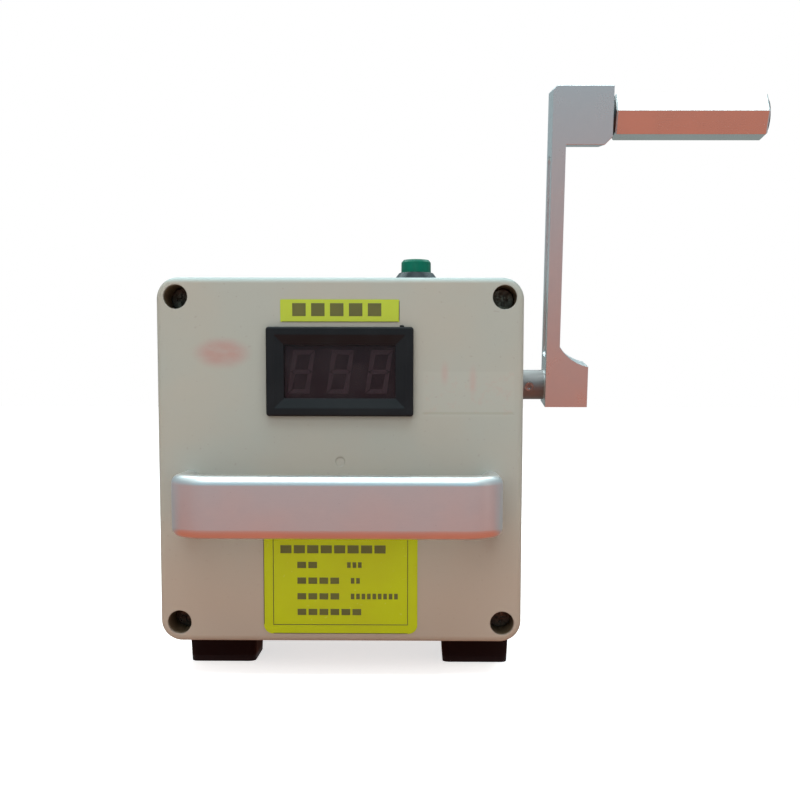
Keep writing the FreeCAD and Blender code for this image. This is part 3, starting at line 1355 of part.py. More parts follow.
def make_sockets():
    face = f"{BACK} + socket_flange"
    end = f"{BACK} - socket_body_length"
    for label, side in (("positive_socket", "-"), ("negative_socket", "+")):
        socket = Piece(label)
        socket.turned("Y", (face, "socket_metal_radius + slip_gap"), (face, "socket_flange_radius"),
                      (BACK, "socket_flange_radius"), (BACK, "socket_body_radius"),
                      (end, "socket_body_radius"), (end, "socket_metal_radius + slip_gap"),
                      centre=socket_centre(side))
    centres = [socket_centre("-"), socket_centre("+")]
    contacts = Piece("socket_contacts")
    mouth, base = f"{face} - socket_metal_sink", f"{end} - socket_base"
    contacts.add("Y", base, mouth, *[circle(*centre, "socket_metal_radius") for centre in centres])
    contacts.cut("Y", end, mouth, *[circle(*centre, "socket_bore") for centre in centres])
    contacts.add("Y", f"{base} - socket_tail", base,
                 *[circle(*centre, "socket_tail_radius") for centre in centres])
    nuts = Piece("socket_nuts")
    nuts.add("Y", f"{BACK} - wall - socket_nut_height", f"{BACK} - wall",
             *[hexagon(*centre, "2 * socket_nut_radius") for centre in centres],
             *[circle(*centre, "socket_body_radius + slip_gap") for centre in centres])


def lead(*places):
    """One insulated lead of six sides with mitred bends; each place is three expressions."""
    points = [Vector(amount(x), amount(y), amount(z)) for x, y, z in places]
    heading = (points[1] - points[0]).normalize()
    rest = Rotation(Vector(0, 0, 1), heading)
    ring = [points[0] + rest.multVec(Vector(math.cos(step * math.pi / 3), math.sin(step * math.pi / 3), 0))
            * amount("lead_radius") for step in range(7)]
    return Part.makePolygon(points).makePipeShell([Part.makePolygon(ring)], True, True, 1)


def make_wiring():
    """Leads from the generator, the sockets, the meter and the button to the board."""
    mouth = f"{BOARD_Y} - block_depth + block_hole_depth"
    block_z = f"{BOARD_LOW} + block_lift + block_height / 2"
    tail = f"{BACK} - socket_body_length - socket_base - socket_tail"
    bend = f"{tail} - lead_bend"
    leads = []
    for hole, side in zip(BLOCK_HOLES, "-+"):
        socket, height = socket_centre(side)
        leads.append(lead((socket, tail, height), (socket, bend, height), (hole, bend, block_z),
                          (hole, mouth, block_z)))
    for hole, side in zip(BLOCK_HOLES[2:], "-+"):
        brush_y = f"shaft_y {side} terminal_spread"
        turn_y = f"{bend} {side} lead_step"
        start_x = f"{CAN_X} - terminal_length"
        leads.append(lead((start_x, brush_y, ROTOR_Z), (f"{start_x} - lead_loop", brush_y, ROTOR_Z),
                          (f"{start_x} - lead_loop", turn_y, f"{block_z} - lead_bend"),
                          (hole, turn_y, block_z), (hole, mouth, block_z)))
    for side in "-+":
        pin_x = f"{side} meter_pin_pitch"
        end_x, end_z = f"{BOARD_LEFT} + meter_lead_x {side} lead_step", f"{BOARD_LOW} + meter_lead_rise"
        leads.append(lead((pin_x, METER_PIN_Y, METER_Z), (pin_x, f"{METER_PIN_Y} + lead_bend", METER_Z),
                          (end_x, f"{BOARD_Y} - lead_bend", end_z), (end_x, BOARD_Y, end_z)))
    pin_z = f"{BOX_TOP} - button_barrel_length - button_base_flange - button_pin_length"
    for side in "-+":
        pin_x = f"{BUTTON_X} {side} button_pin_spread"
        end_x, end_z = f"{BOARD_LEFT} + button_lead_x {side} lead_step", f"{BOARD_LOW} + button_lead_rise"
        leads.append(lead((pin_x, "0", pin_z), (pin_x, "0", f"{pin_z} - lead_loop"),
                          (end_x, f"{BOARD_Y} - lead_bend", end_z), (end_x, BOARD_Y, end_z)))
    solid_piece("wiring", Part.makeCompound(leads))


make_base_shell()
make_lid()
make_gasket()
make_lid_screws()
make_feet()
make_foot_screws()
make_handle()
make_handle_fixings()
make_meter_case()
make_meter_inner_pieces()
make_display_segments()
make_meter_clips()
make_labels()
make_button()
make_crank_arm()
make_crank_small_pieces()
make_grip()
make_gearbox()
make_bushes()
make_machine_screws()
make_gears()
make_gear_pin()
make_generator_shell()
make_rotor()
make_board()
make_sockets()
make_wiring()
document.recompute()

# ---------------------------------------------------------------- checks and files

for item in document.Objects:
    if "Invalid" in item.State or "Error" in item.State:
        raise RuntimeError(f"{item.Label} could not be computed: {item.State}")
for item in pieces:
    if item.Shape.isNull() or not item.Shape.isValid():
        raise RuntimeError(f"{item.Label} has no sound shape")

os.makedirs("parts", exist_ok=True)
for item in pieces:
    item.Shape.exportStep(f"parts/{item.Label}.step")
print(len(pieces), "pieces,", sum(len(item.Shape.Solids) for item in pieces), "solids")
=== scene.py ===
# %% [markdown]
# # Dressing a hand crank generator
# The packed part gives every solid at its true size and place. This lesson adds what the eye sees:
# a camera, soft light, finishes with grain and wear, and the small formed pieces that are easier to
# shape by hand. Everything is in metres, and each finished object keeps its place in its mesh.

# %% Load the part
import math

import bpy
from mathutils import Matrix, Vector


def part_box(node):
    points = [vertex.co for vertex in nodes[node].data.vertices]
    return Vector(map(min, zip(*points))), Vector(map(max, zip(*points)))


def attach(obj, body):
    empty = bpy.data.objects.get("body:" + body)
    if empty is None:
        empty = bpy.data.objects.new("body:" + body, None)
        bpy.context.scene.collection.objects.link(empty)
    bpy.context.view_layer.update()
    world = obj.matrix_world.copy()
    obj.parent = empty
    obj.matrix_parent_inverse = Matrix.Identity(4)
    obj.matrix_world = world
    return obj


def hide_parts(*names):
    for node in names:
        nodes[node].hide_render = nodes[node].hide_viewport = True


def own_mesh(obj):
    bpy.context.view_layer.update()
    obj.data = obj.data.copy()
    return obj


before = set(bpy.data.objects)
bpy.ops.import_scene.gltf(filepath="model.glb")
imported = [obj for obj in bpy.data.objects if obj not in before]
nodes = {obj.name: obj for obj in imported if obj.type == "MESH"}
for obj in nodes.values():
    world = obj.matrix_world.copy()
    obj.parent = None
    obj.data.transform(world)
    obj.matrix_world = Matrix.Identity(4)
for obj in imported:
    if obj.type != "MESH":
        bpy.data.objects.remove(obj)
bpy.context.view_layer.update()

MM = 0.001
print("nodes loaded:", len(nodes))

# %% [markdown]
# ## The camera
# The box is seen almost straight from the front, from a little above its middle and slightly to the
# right. A camera can be turned by angles, but its three axes are easier to trust: where it looks,
# which way is right, and which way is up. The small shift keeps the box low in a square picture
# without tilting its sides.

# %% Aim the camera
EYE = Vector((25.32, -445.0, 94.22)) * MM
TILT = math.radians(5.10)
PAN = math.radians(-0.52)
ROLL = math.radians(0.13)

ahead = Vector((math.sin(PAN) * math.cos(TILT), math.cos(PAN) * math.cos(TILT), -math.sin(TILT)))
level = Vector((math.cos(PAN), -math.sin(PAN), 0.0))
upward = level.cross(ahead)
right = level * math.cos(ROLL) + upward * math.sin(ROLL)
above = upward * math.cos(ROLL) - level * math.sin(ROLL)
print("the camera looks along:", [round(part, 3) for part in ahead])

# %% Make the camera
SENSOR = 36.0
FOCAL_SHARE = 1.52249
SHIFT_ACROSS = -0.0076
SHIFT_UP = 0.1284

lens_data = bpy.data.cameras.new("camera")
lens_data.sensor_width = SENSOR
lens_data.lens = FOCAL_SHARE * SENSOR
lens_data.shift_x = SHIFT_ACROSS
lens_data.shift_y = SHIFT_UP
lens_data.clip_start = 0.01
camera = bpy.data.objects.new("camera", lens_data)
bpy.context.scene.collection.objects.link(camera)
camera.matrix_world = Matrix.Translation(EYE) @ Matrix((right, above, -ahead)).transposed().to_4x4()
bpy.context.scene.camera = camera
bpy.context.scene.view_settings.view_transform = "Standard"
print("lens in mm:", round(lens_data.lens, 2))

# %% [markdown]
# ## Shader maths
# A finish is a small sum: grain plus wear, times a mask. Wiring that by hand hides the sum, so a
# wrapped socket does it here, and adding or multiplying two signals adds the Math node.

# %% A wrapped socket
class Signal:
    """One output of a shader node. Arithmetic on signals adds Math nodes."""

    def __init__(self, finish, socket):
        self.finish = finish
        self.socket = socket

    def math(self, operation, first, second):
        return self.finish.node("ShaderNodeMath", {"operation": operation}, {0: first, 1: second})

    def __add__(self, other):
        return self.math("ADD", self, other)

    def __radd__(self, other):
        return self.math("ADD", other, self)

    def __sub__(self, other):
        return self.math("SUBTRACT", self, other)

    def __rsub__(self, other):
        return self.math("SUBTRACT", other, self)

    def __mul__(self, other):
        return self.math("MULTIPLY", self, other)

    def __rmul__(self, other):
        return self.math("MULTIPLY", other, self)


print("sums on signals:", [name.strip("_") for name in vars(Signal) if name.endswith(("add__", "sub__", "mul__"))])

# %% [markdown]
# ## A finish
# A finish collects the nodes of one material, or of the sky. One method makes any node from its
# type, its settings and its inputs. The rest are the few signals that every finish here is made of.

# %% A finish built node by node
class Finish:
    """The nodes of one material, or of the world when it is given as the owner."""

    def __init__(self, name, owner=None):
        self.material = owner or bpy.data.materials.new(name)
        self.material.use_nodes = True
        self.tree = self.material.node_tree
        self.tree.nodes.clear()

    def node(self, kind, settings=None, inputs=None, output=0):
        """Any node: its settings are set first, then the values or links of its sockets."""
        made = self.tree.nodes.new(kind)
        for setting, value in (settings or {}).items():
            if setting == "stops":
                ramp = made.color_ramp.elements
                for element, (position, colour) in zip((ramp[0], ramp[1]), (value[0], value[-1])):
                    element.position = position
                    element.color = (*colour, 1.0)
                for position, colour in value[1:-1]:
                    ramp.new(position).color = (*colour, 1.0)
            else:
                setattr(made, setting, value)
        for name, value in (inputs or {}).items():
            socket = made.inputs[name]
            if isinstance(value, Signal):
                self.tree.links.new(value.socket, socket)
            elif isinstance(value, tuple) and len(value) == 3 and socket.type == "RGBA":
                socket.default_value = (*value, 1.0)
            else:
                socket.default_value = value
        return Signal(self, made.outputs[output])

    def place(self):
        """Where a point is on the piece, in metres."""
        return self.node("ShaderNodeTexCoord", output="Object")

    def along(self, axis):
        """One coordinate of that place: 0, 1 or 2."""
        return self.node("ShaderNodeSeparateXYZ", {}, {0: self.place()}, axis)

    def spread(self, stretch):
        """The place, stretched by a factor along each axis."""
        return self.node("ShaderNodeVectorMath", {"operation": "MULTIPLY"}, {0: self.place(), 1: stretch})

    def grain(self, size, detail=2.0, harshness=0.5, stretch=(1.0, 1.0, 1.0)):
        """Soft noise from 0 to 1 whose lumps are about size millimetres across."""
        inputs = {"Scale": 1.0 / (size * MM), "Detail": detail, "Roughness": harshness}
        return self.node("ShaderNodeTexNoise", {}, {"Vector": self.spread(stretch), **inputs})

    def ease(self, signal, low, high):
        """0 below low, 1 above high and a smooth slope between; low may be above high."""
        inputs = {"Value": signal, "From Min": low, "From Max": high}
        return self.node("ShaderNodeMapRange", {"interpolation_type": "SMOOTHSTEP"}, inputs)

    def band(self, axis, start, full, fade, end):
        """A mask across one axis: 0 before start, 1 from full to fade, 0 after end; in millimetres."""
        place = self.along(axis)
        return self.ease(place, start * MM, full * MM) * self.ease(place, end * MM, fade * MM)

    def tint(self, amount, start, end):
        """A colour that goes from start to end as amount goes from 0 to 1."""
        return self.node("ShaderNodeMix", {"data_type": "RGBA"}, {0: amount, 6: start, 7: end}, 2)

    def round_edge(self, radius):
        """A surface direction that leans round the piece's edges."""
        return self.node("ShaderNodeBevel", {"samples": 6}, {"Radius": radius * MM})

    def edge(self, radius, low, high):
        """A mask that is 1 on the piece's edges and 0 on its faces."""
        leaning = self.round_edge(radius)
        straight = self.node("ShaderNodeNewGeometry", output="Normal")
        agree = self.node("ShaderNodeVectorMath", {"operation": "DOT_PRODUCT"}, {0: leaning, 1: straight}, 1)
        return self.ease(1.0 - agree, low, high)

    def spot(self, centre, radius, blur, stretch):
        """A mask that is 1 in a stretched ball round centre and fades over blur; in millimetres."""
        middle = tuple(value * factor * MM for value, factor in zip(centre, stretch))
        inputs = {0: self.spread(stretch), 1: middle}
        apart = self.node("ShaderNodeVectorMath", {"operation": "DISTANCE"}, inputs, 1)
        return self.ease(apart, (radius + blur) * MM, radius * MM)

    def bump(self, height, depth, strength, normal=None):
        """A surface direction from a height signal; depth is in millimetres."""
        inputs = {"Height": height, "Distance": depth * MM, "Strength": strength}
        if normal:
            inputs["Normal"] = normal
        return self.node("ShaderNodeBump", {}, inputs)

    def straight_rays(self):
        """1 for what the camera, mirrors and clear pieces see, and 0 for light that is scattered."""
        camera_ray = self.node("ShaderNodeLightPath", output="Is Camera Ray")
        kinds = camera_ray.socket.node.outputs
        return camera_ray + Signal(self, kinds["Is Glossy Ray"]) + Signal(self, kinds["Is Transmission Ray"])

    def surface(self, **inputs):
        """The one physically based shader, wired to the output."""
        names = {name.replace("_", " "): value for name, value in inputs.items()}
        self.wire_out(self.node("ShaderNodeBsdfPrincipled", {}, names))
        return self.material

    def wire_out(self, shader, kind="ShaderNodeOutputMaterial"):
        out = self.tree.nodes.new(kind)
        self.tree.links.new(shader.socket, out.inputs["Surface"])


print("a finish offers:", [name for name in vars(Finish) if not name.startswith("_")])

# %% [markdown]
# ## Floor and sky
# A plain white sweep shows the part without telling a story. The floor is a matt plate that the
# camera, glossy metal and clear plastic see as white, while the light that it sends back up stays
# that of a pale warm table. It still darkens under the part, so the part stands on something. The
# sky is split in the same way: white to look at, and little more than half as bright as a light.

# %% Lay the floor
FLOOR_WARMTH = (0.66, 0.52, 0.45)
FLOOR_WHITE = (0.9, 0.9, 0.9)
FLOOR_GLOW = 0.66
FLOOR_SIZE = 16.0
BLACK = (0.0, 0.0, 0.0)
WHITE = (1.0, 1.0, 1.0)

floor_finish = Finish("pale_floor")
seen = floor_finish.straight_rays()
deeper_warmth = tuple(value * 0.97 for value in FLOOR_WARMTH)
warm_table = floor_finish.tint(floor_finish.grain(60.0), FLOOR_WARMTH, deeper_warmth)
floor_colour = floor_finish.tint(seen, warm_table, FLOOR_WHITE)
floor_light = floor_finish.tint(seen, BLACK, WHITE)
floor_material = floor_finish.surface(Base_Color=floor_colour, Roughness=0.9, Specular_IOR_Level=0.0,
                                      Emission_Color=floor_light, Emission_Strength=FLOOR_GLOW)
bpy.ops.mesh.primitive_plane_add(size=FLOOR_SIZE, location=(0.0, 0.0, 0.0))
floor = bpy.context.object
floor.name = "floor"
floor.data.materials.append(floor_material)
print("floor across in m:", FLOOR_SIZE)

# %% The sky
SKY_TONE = (0.97, 0.985, 1.0)
SKY_GLOW = 0.58

world = bpy.data.worlds.new("studio")
bpy.context.scene.world = world
sky = Finish("studio", world)
soft_sky = sky.node("ShaderNodeBackground", {}, {"Color": SKY_TONE, "Strength": SKY_GLOW})
white_sky = sky.node("ShaderNodeBackground", {}, {"Color": WHITE, "Strength": 1.0})
both_skies = sky.node("ShaderNodeMixShader", {}, {0: sky.straight_rays(), 1: soft_sky, 2: white_sky})
sky.wire_out(both_skies, "ShaderNodeOutputWorld")
print("sky nodes:", len(sky.tree.nodes))

# %% [markdown]
# ## Lamps
# Lamps of a wide soft kind could be mesh lights, but area lamps give less noise. The cool ones hang
# over and behind the part, so its top and its upper edges are the brightest. The two that stand in
# front only fill the shade, and metal would show them as bright squares, so reflections skip them.

# %% Hang the lamps
def hang_lamp(name, place, aim, size, power, colour, mirrored=True):
    """A soft rectangular lamp at place that faces aim; sizes in metres, power in watts."""
    data = bpy.data.lights.new(name, "AREA")
    data.shape = "RECTANGLE"
    data.size, data.size_y = size
    data.energy = power
    data.color = colour
    lamp = bpy.data.objects.new(name, data)
    bpy.context.scene.collection.objects.link(lamp)
    lamp.location = place
    lamp.rotation_euler = (Vector(aim) - Vector(place)).to_track_quat("-Z", "Y").to_euler()
    lamp.visible_glossy = mirrored
    return lamp


lamps = [
    hang_lamp("overhead_lamp", place=(0.04, -0.40, 0.95), aim=(0.02, 0.0, 0.08), size=(0.9, 0.5),
              power=4.8, colour=(0.82, 0.97, 1.0)),
    hang_lamp("rear_lamp", place=(0.0, 0.40, 0.90), aim=(0.0, 0.0, 0.10), size=(1.2, 0.6),
              power=7.5, colour=(0.80, 0.98, 1.0)),
    hang_lamp("front_lamp", place=(-0.20, -1.35, 0.60), aim=(0.0, 0.0, 0.08), size=(0.9, 0.9),
              power=4.8, colour=(0.96, 1.0, 0.98), mirrored=False),
    hang_lamp("low_lamp", place=(0.10, -0.75, 0.03), aim=(0.03, 0.0, 0.06), size=(0.9, 0.12),
              power=0.5, colour=(1.0, 0.50, 0.34), mirrored=False),
]
print("lamps in watts:", {lamp.name: round(lamp.data.energy, 2) for lamp in lamps})

# %% [markdown]
# ## Cards for the metal
# Polished and satin metal has hardly any colour of its own: it shows the room. In a studio, cards
# stand around it to give it light and dark sides. Here nine cards make a small room: the one on the
# table is red brown near the part, the walls are a dim cool grey, and the ceiling is bright. Only
# reflections see them.

# %% A card
def stand_card(name, corners, axis, stops):
    """A flat card that only reflections see, shaded along one axis by stops in metres."""
    bpy.ops.mesh.primitive_plane_add(size=1.0)
    card = bpy.context.object
    card.name = name
    for corner, place in zip(card.data.vertices, corners):
        corner.co = place
    card.location = (0.0, 0.0, 0.0)
    finish = Finish(name)
    low, high = stops[0][0], stops[-1][0]
    share = (finish.along(axis) - low) * (1.0 / (high - low))
    shares = [((place - low) / (high - low), colour) for place, colour in stops]
    shade = finish.node("ShaderNodeValToRGB", {"stops": shares}, {0: share})
    finish.wire_out(finish.node("ShaderNodeEmission", {}, {"Color": shade, "Strength": 1.0}))
    card.data.materials.append(finish.material)
    card.visible_camera = False
    card.visible_diffuse = False
    card.visible_shadow = False
    card.visible_transmission = False
    return card


ROOM = 1.8
ROOM_TOP = 1.3
FRONT_WALL = -1.5
print("room of cards in m:", 2.0 * ROOM, "by", ROOM - FRONT_WALL, "by", ROOM_TOP)

# %% Front, back, ceiling and table
RED_TABLE = 0.45
TABLE_LIFT = 0.002
CORNERS = ((-1.0, 0.0), (1.0, 0.0), (-1.0, 1.0), (1.0, 1.0))


def depth(share):
    """How far back a point lies, from 0 at the front wall to 1 at the back wall."""
    return FRONT_WALL + (ROOM - FRONT_WALL) * share


cards = [
    stand_card("front_card", [(ROOM * x, FRONT_WALL, ROOM_TOP * z) for x, z in CORNERS], 2,
               [(0.0, (0.60, 0.31, 0.27)), (0.09, (0.48, 0.35, 0.34)), (0.20, (0.24, 0.50, 0.56)),
                (0.60, (0.34, 0.66, 0.82)), (0.90, (0.60, 0.80, 0.88)), (ROOM_TOP, (0.85, 1.0, 1.0))]),
    stand_card("back_card", [(ROOM * x, ROOM, ROOM_TOP * z) for x, z in CORNERS], 2,
               [(0.0, (0.27, 0.33, 0.34)), (ROOM_TOP, (0.40, 0.50, 0.53))]),
    stand_card("ceiling_card", [(ROOM * x, depth(y), ROOM_TOP) for x, y in CORNERS], 1,
               [(FRONT_WALL, (0.70, 0.86, 0.90)), (-0.75, (0.80, 0.98, 1.0)), (ROOM, (0.72, 0.92, 0.98))]),
    stand_card("table_card", [(RED_TABLE * x, depth(y), TABLE_LIFT) for x, y in CORNERS], 1,
               [(FRONT_WALL, (0.47, 0.36, 0.34)), (-0.80, (0.46, 0.35, 0.33)), (-0.42, (0.53, 0.24, 0.19)),
                (-0.02, (0.56, 0.17, 0.10)), (0.07, (0.27, 0.31, 0.30)), (ROOM, (0.26, 0.33, 0.33))]),
]
print("cards so far:", [card.name for card in cards])

# %% Window and sides
WINDOW_X = 1.75
WINDOW_SPAN = (-0.75, -0.35)
WINDOW_TOP = 0.9
WALL_STOPS = [(0.0, (0.43, 0.35, 0.36)), (0.15, (0.42, 0.37, 0.38)), (0.40, (0.37, 0.45, 0.48)),
              (ROOM_TOP, (0.42, 0.53, 0.56))]

window = [(WINDOW_X, WINDOW_SPAN[x > 0.0], WINDOW_TOP * z) for x, z in CORNERS]
cards.append(stand_card("window_card", window, 2, [(0.0, (0.66, 0.62, 0.62)), (WINDOW_TOP, (0.80, 0.92, 0.94))]))
for side_name, side in (("left", -1.0), ("right", 1.0)):
    wall = [(side * ROOM, depth(x * 0.5 + 0.5), ROOM_TOP * z) for x, z in CORNERS]
    cards.append(stand_card(side_name + "_card", wall, 2, WALL_STOPS))
    edges = {x: side * (RED_TABLE + (ROOM - RED_TABLE) * (x * 0.5 + 0.5)) for x in (-1.0, 1.0)}
    side_table = [(edges[x], depth(y), TABLE_LIFT) for x, y in CORNERS]
    cards.append(stand_card(side_name + "_table_card", side_table, 1,
                            [(FRONT_WALL, (0.41, 0.37, 0.37)), (ROOM, (0.34, 0.31, 0.32))]))
print("cards in all:", len(cards))

# %% [markdown]
# ## Light grey moulded box
# The box is moulded in a light grey plastic with a very fine matt texture. Up close it has shallow
# pits, faint rubbed patches and a little yellowing, and its edges are polished by handling. Two
# sizes of noise give that: a fine one as bump, a broad one that shifts colour and shine a little.
# Its lower half is tinted towards tan as painted warm light from the table below, and its top face
# is tinted pale and cool as a painted sheen of the light from above.

# %% Moulded plastic
BOX_GREY = (0.345, 0.355, 0.318)
BOX_WARM = (0.365, 0.352, 0.305)
BOX_SPECK = (0.26, 0.24, 0.21)
BOX_RUBBED = (0.430, 0.450, 0.425)
BOX_PAINTED_WARMTH = (0.400, 0.285, 0.215)
BOX_TOP_SHEEN = (0.400, 0.490, 0.480)
WARMTH_NONE, WARMTH_FULL = 82.0, 30.0
SHEEN_NONE, SHEEN_FULL = 130.0, 131.4


def moulded_box(name, marks=None):
    """The grey plastic of the box; marks may paint more over its colour."""
    finish = Finish(name)
    patches = finish.ease(finish.grain(34.0, 3.0), 0.35, 0.68)
    colour = finish.tint(patches, BOX_GREY, BOX_WARM)
    pits = finish.grain(0.35, 2.0, 0.6)
    specks = finish.ease(finish.grain(1.6, 1.0, 0.4), 0.70, 0.76)
    colour = finish.tint(specks * 0.30, colour, BOX_SPECK)
    worn = finish.edge(0.7, 0.03, 0.35) * finish.ease(finish.grain(9.0, 3.0), 0.30, 0.62)
    colour = finish.tint(worn * 0.55, colour, BOX_RUBBED)
    height = finish.along(2)
    wavy_height = height + 12.0 * MM * finish.grain(30.0, 2.0)
    # Painted warm light: the lower half is tinted towards tan in place of warm light from the table.
    colour = finish.tint(finish.ease(wavy_height, WARMTH_NONE * MM, WARMTH_FULL * MM) * 0.65, colour, BOX_PAINTED_WARMTH)
    # Painted sheen: the top face is tinted pale and cool in place of the light from above.
    colour = finish.tint(finish.ease(height, SHEEN_NONE * MM, SHEEN_FULL * MM) * 0.85, colour, BOX_TOP_SHEEN)
    if marks:
        colour = marks(finish, colour)
    shine = 0.56 - 0.10 * patches - 0.12 * worn + 0.10 * pits
    scratches = finish.ease(finish.grain(2.4, 4.0, 0.7, (1.0, 1.0, 9.0)), 0.60, 0.72)
    face = finish.bump(pits + 0.5 * scratches, 0.010, 0.55, finish.round_edge(0.45))
    return finish.surface(Base_Color=colour, Roughness=shine, Normal=face, Specular_IOR_Level=0.40)


box_plastic = moulded_box("box_plastic")
print("nodes in the box finish:", len(box_plastic.node_tree.nodes))

# %% [markdown]
# ## Marks on the lid
# The lid has lived a little: a faint pink rub on its left, a pale ghost of a removed sticker on its
# right with two pink smears, and a darker brown deep in the four screw wells. These are masks in
# millimetres over the same plastic, so they stay where they are when the part turns.

# %% Darker brown in the screw wells
WELL_INSET = 53.65
LID_MIDDLE = 72.0
WELL_RIM, WELL_WALL = 4.35, 4.05
WELL_MOUTH = -44.4
WELL_FADE = 2.2
WELL_BROWN = (0.170, 0.115, 0.058)


def off_axis(finish, axis, middle):
    """How far a point is from the nearer of two wells along one axis, in metres."""
    from_middle = finish.node("ShaderNodeMath", {"operation": "ABSOLUTE"}, {0: finish.along(axis) - middle * MM})
    return from_middle - WELL_INSET * MM


def well_darkening(finish):
    """A mask that is 1 deep in the four screw wells."""
    x = off_axis(finish, 0, 0.0)
    z = off_axis(finish, 2, LID_MIDDLE)
    from_axis = finish.node("ShaderNodeMath", {"operation": "SQRT"}, {0: x * x + z * z})
    inside = finish.ease(from_axis, WELL_RIM * MM, WELL_WALL * MM)
    return inside * finish.ease(finish.along(1), WELL_MOUTH * MM, (WELL_MOUTH + WELL_FADE) * MM)


print("well axes from the lid's middle in mm:", WELL_INSET)

# %% Rub, ghost and smears
LID_FACE = -45.0
RUB_PINK = (0.38, 0.215, 0.190)
GHOST_PALE = (0.46, 0.46, 0.42)
GLUE_BROWN = (0.42, 0.30, 0.25)
BORDER_GREY = (0.25, 0.27, 0.20)
SMEAR_PINK = (0.44, 0.25, 0.22)
SMEARS = ((34.2, 100.9, 0.45), (43.4, 98.6, 0.35))


def lid_marks(finish, colour):
    """Paints the rub, the sticker's ghost, the smears and the darker brown of the wells over the lid's colour."""
    patchy = finish.ease(finish.grain(4.0, 4.0, 0.6, (0.6, 1.0, 1.6)), 0.30, 0.62)
    rub = finish.spot((-38.6, LID_FACE, 107.4), 3.4, 6.8, (0.93, 0.3, 1.7))
    colour = finish.tint(rub * (0.52 + 0.26 * patchy), colour, RUB_PINK)
    across = finish.band(0, 26.5, 27.5, 56.5, 57.5)
    ghost = across * finish.band(2, 86.5, 87.5, 101.0, 102.0)
    colour = finish.tint(ghost * 0.12, colour, GHOST_PALE)
    glue = finish.ease(finish.grain(2.2, 4.0, 0.65), 0.52, 0.66)
    colour = finish.tint(ghost * glue * 0.25, colour, GLUE_BROWN)
    border = across * finish.band(2, 87.4, 87.7, 88.2, 88.6)
    colour = finish.tint(border * 0.35, colour, BORDER_GREY)
    for x, z, squeeze in SMEARS:
        smear = finish.spot((x, LID_FACE, z), 0.2, 2.2, (1.3, 0.3, squeeze))
        colour = finish.tint(smear * 0.35, colour, SMEAR_PINK)
    # The walls deep in the screw wells are tinted a darker brown.
    return finish.tint(well_darkening(finish) * 0.90, colour, WELL_BROWN)


lid_plastic = moulded_box("lid_plastic", lid_marks)
print("nodes in the lid finish:", len(lid_plastic.node_tree.nodes))

# %% [markdown]
# ## Satin aluminium
# The arm is milled from bar and the handle is cast and brushed; both are then satin anodised. Real
# satin metal is never even: fine brush lines run along the bar, edges are brighter where the
# coating wears, and there are tiny dark pits. A noise that is stretched along one axis makes the
# lines, and it moves roughness and bump far more than it moves colour. The arm's boss is turned
# instead and rougher, and a mask along X darkens its colour as painted shade from the narrow gap
# between the box and the arm.

# %% Brushed and cast aluminium
METAL_RUBBED = (0.88, 0.88, 0.87)
BOSS_PAINTED_SHADE = (0.240, 0.218, 0.212)
BOSS_END = 71.5


def satin_metal(name, shade, roughness, stretch, line_size, line_depth, turned_to=None):
    """Satin metal; turned_to is how far along X the rougher turned boss reaches, whose colour is darkened as
    painted shade, in millimetres.
    """
    finish = Finish(name)
    lines = finish.grain(line_size, 3.0, 0.6, stretch)
    clouds = finish.ease(finish.grain(11.0, 3.0), 0.32, 0.68)
    pits = finish.ease(finish.grain(0.7, 2.0, 0.6), 0.70, 0.78)
    colour = finish.tint(clouds * 0.5 + lines * 0.3, shade, tuple(value * 0.90 for value in shade))
    colour = finish.tint(pits * 0.35, colour, tuple(value * 0.55 for value in shade))
    worn = finish.edge(0.5, 0.03, 0.3)
    colour = finish.tint(worn * 0.35, colour, METAL_RUBBED)
    shine = roughness + 0.10 * (lines - 0.5) + 0.06 * clouds - 0.10 * worn
    if turned_to:
        turned = finish.ease(finish.along(0), turned_to * MM, (turned_to - 0.3) * MM)
        # Painted shade: the boss sits in the narrow gap between the box and the arm, so its colour is darkened.
        colour = finish.tint(turned * 0.90, colour, BOSS_PAINTED_SHADE)
        shine = shine + 0.27 * turned
    face = finish.bump(lines - 0.6 * pits, line_depth, 0.6, finish.round_edge(0.35))
    return finish.surface(Base_Color=colour, Metallic=1.0, Roughness=shine, Normal=face)


arm_metal = satin_metal("milled_arm_metal", (0.78, 0.79, 0.80), 0.27, (1.0, 1.0, 0.04), 0.35, 0.003, BOSS_END)
handle_metal = satin_metal("cast_handle_metal", (0.82, 0.81, 0.81), 0.33, (0.10, 1.0, 1.0), 0.5, 0.004)
grip_metal = satin_metal("hexagon_grip_metal", (0.84, 0.82, 0.81), 0.22, (0.06, 1.0, 1.0), 0.45, 0.004)
plate_metal = satin_metal("mill_plate_metal", (0.70, 0.71, 0.72), 0.42, (1.0, 1.0, 0.05), 0.3, 0.006)
print("aluminium:", [metal.name for metal in (arm_metal, handle_metal, grip_metal, plate_metal)])

# %% [markdown]
# ## Plated steel, brass and copper
# Screws, washers and shafts are zinc plated: a slightly blue grey with a mottled bloom. Turned marks
# show as fine rings, but at this size a soft noise reads the same. The lid's screws are dirty, and
# the grub screw is oiled, so it is dark and glossy, with its corners tinted near white as a painted
# glint. Brass and copper are the same recipe with other shades.

# %% Steel, brass and copper
def plated_metal(name, shade, bloom, roughness, corner=(0.80, 0.80, 0.78)):
    """Metal with a mottled bloom and corners tinted towards a corner colour: rubbed wear, and on the grub screw a
    painted glint.
    """
    finish = Finish(name)
    mottle = finish.ease(finish.grain(1.4, 3.0, 0.6), 0.35, 0.65)
    fine = finish.grain(0.25, 2.0)
    colour = finish.tint(mottle, shade, bloom)
    worn = finish.edge(0.2, 0.03, 0.3)
    colour = finish.tint(worn * 0.5, colour, corner)
    shine = roughness + 0.14 * mottle - 0.08 * worn
    face = finish.bump(fine + mottle, 0.003, 0.5, finish.round_edge(0.12))
    return finish.surface(Base_Color=colour, Metallic=1.0, Roughness=shine, Normal=face)


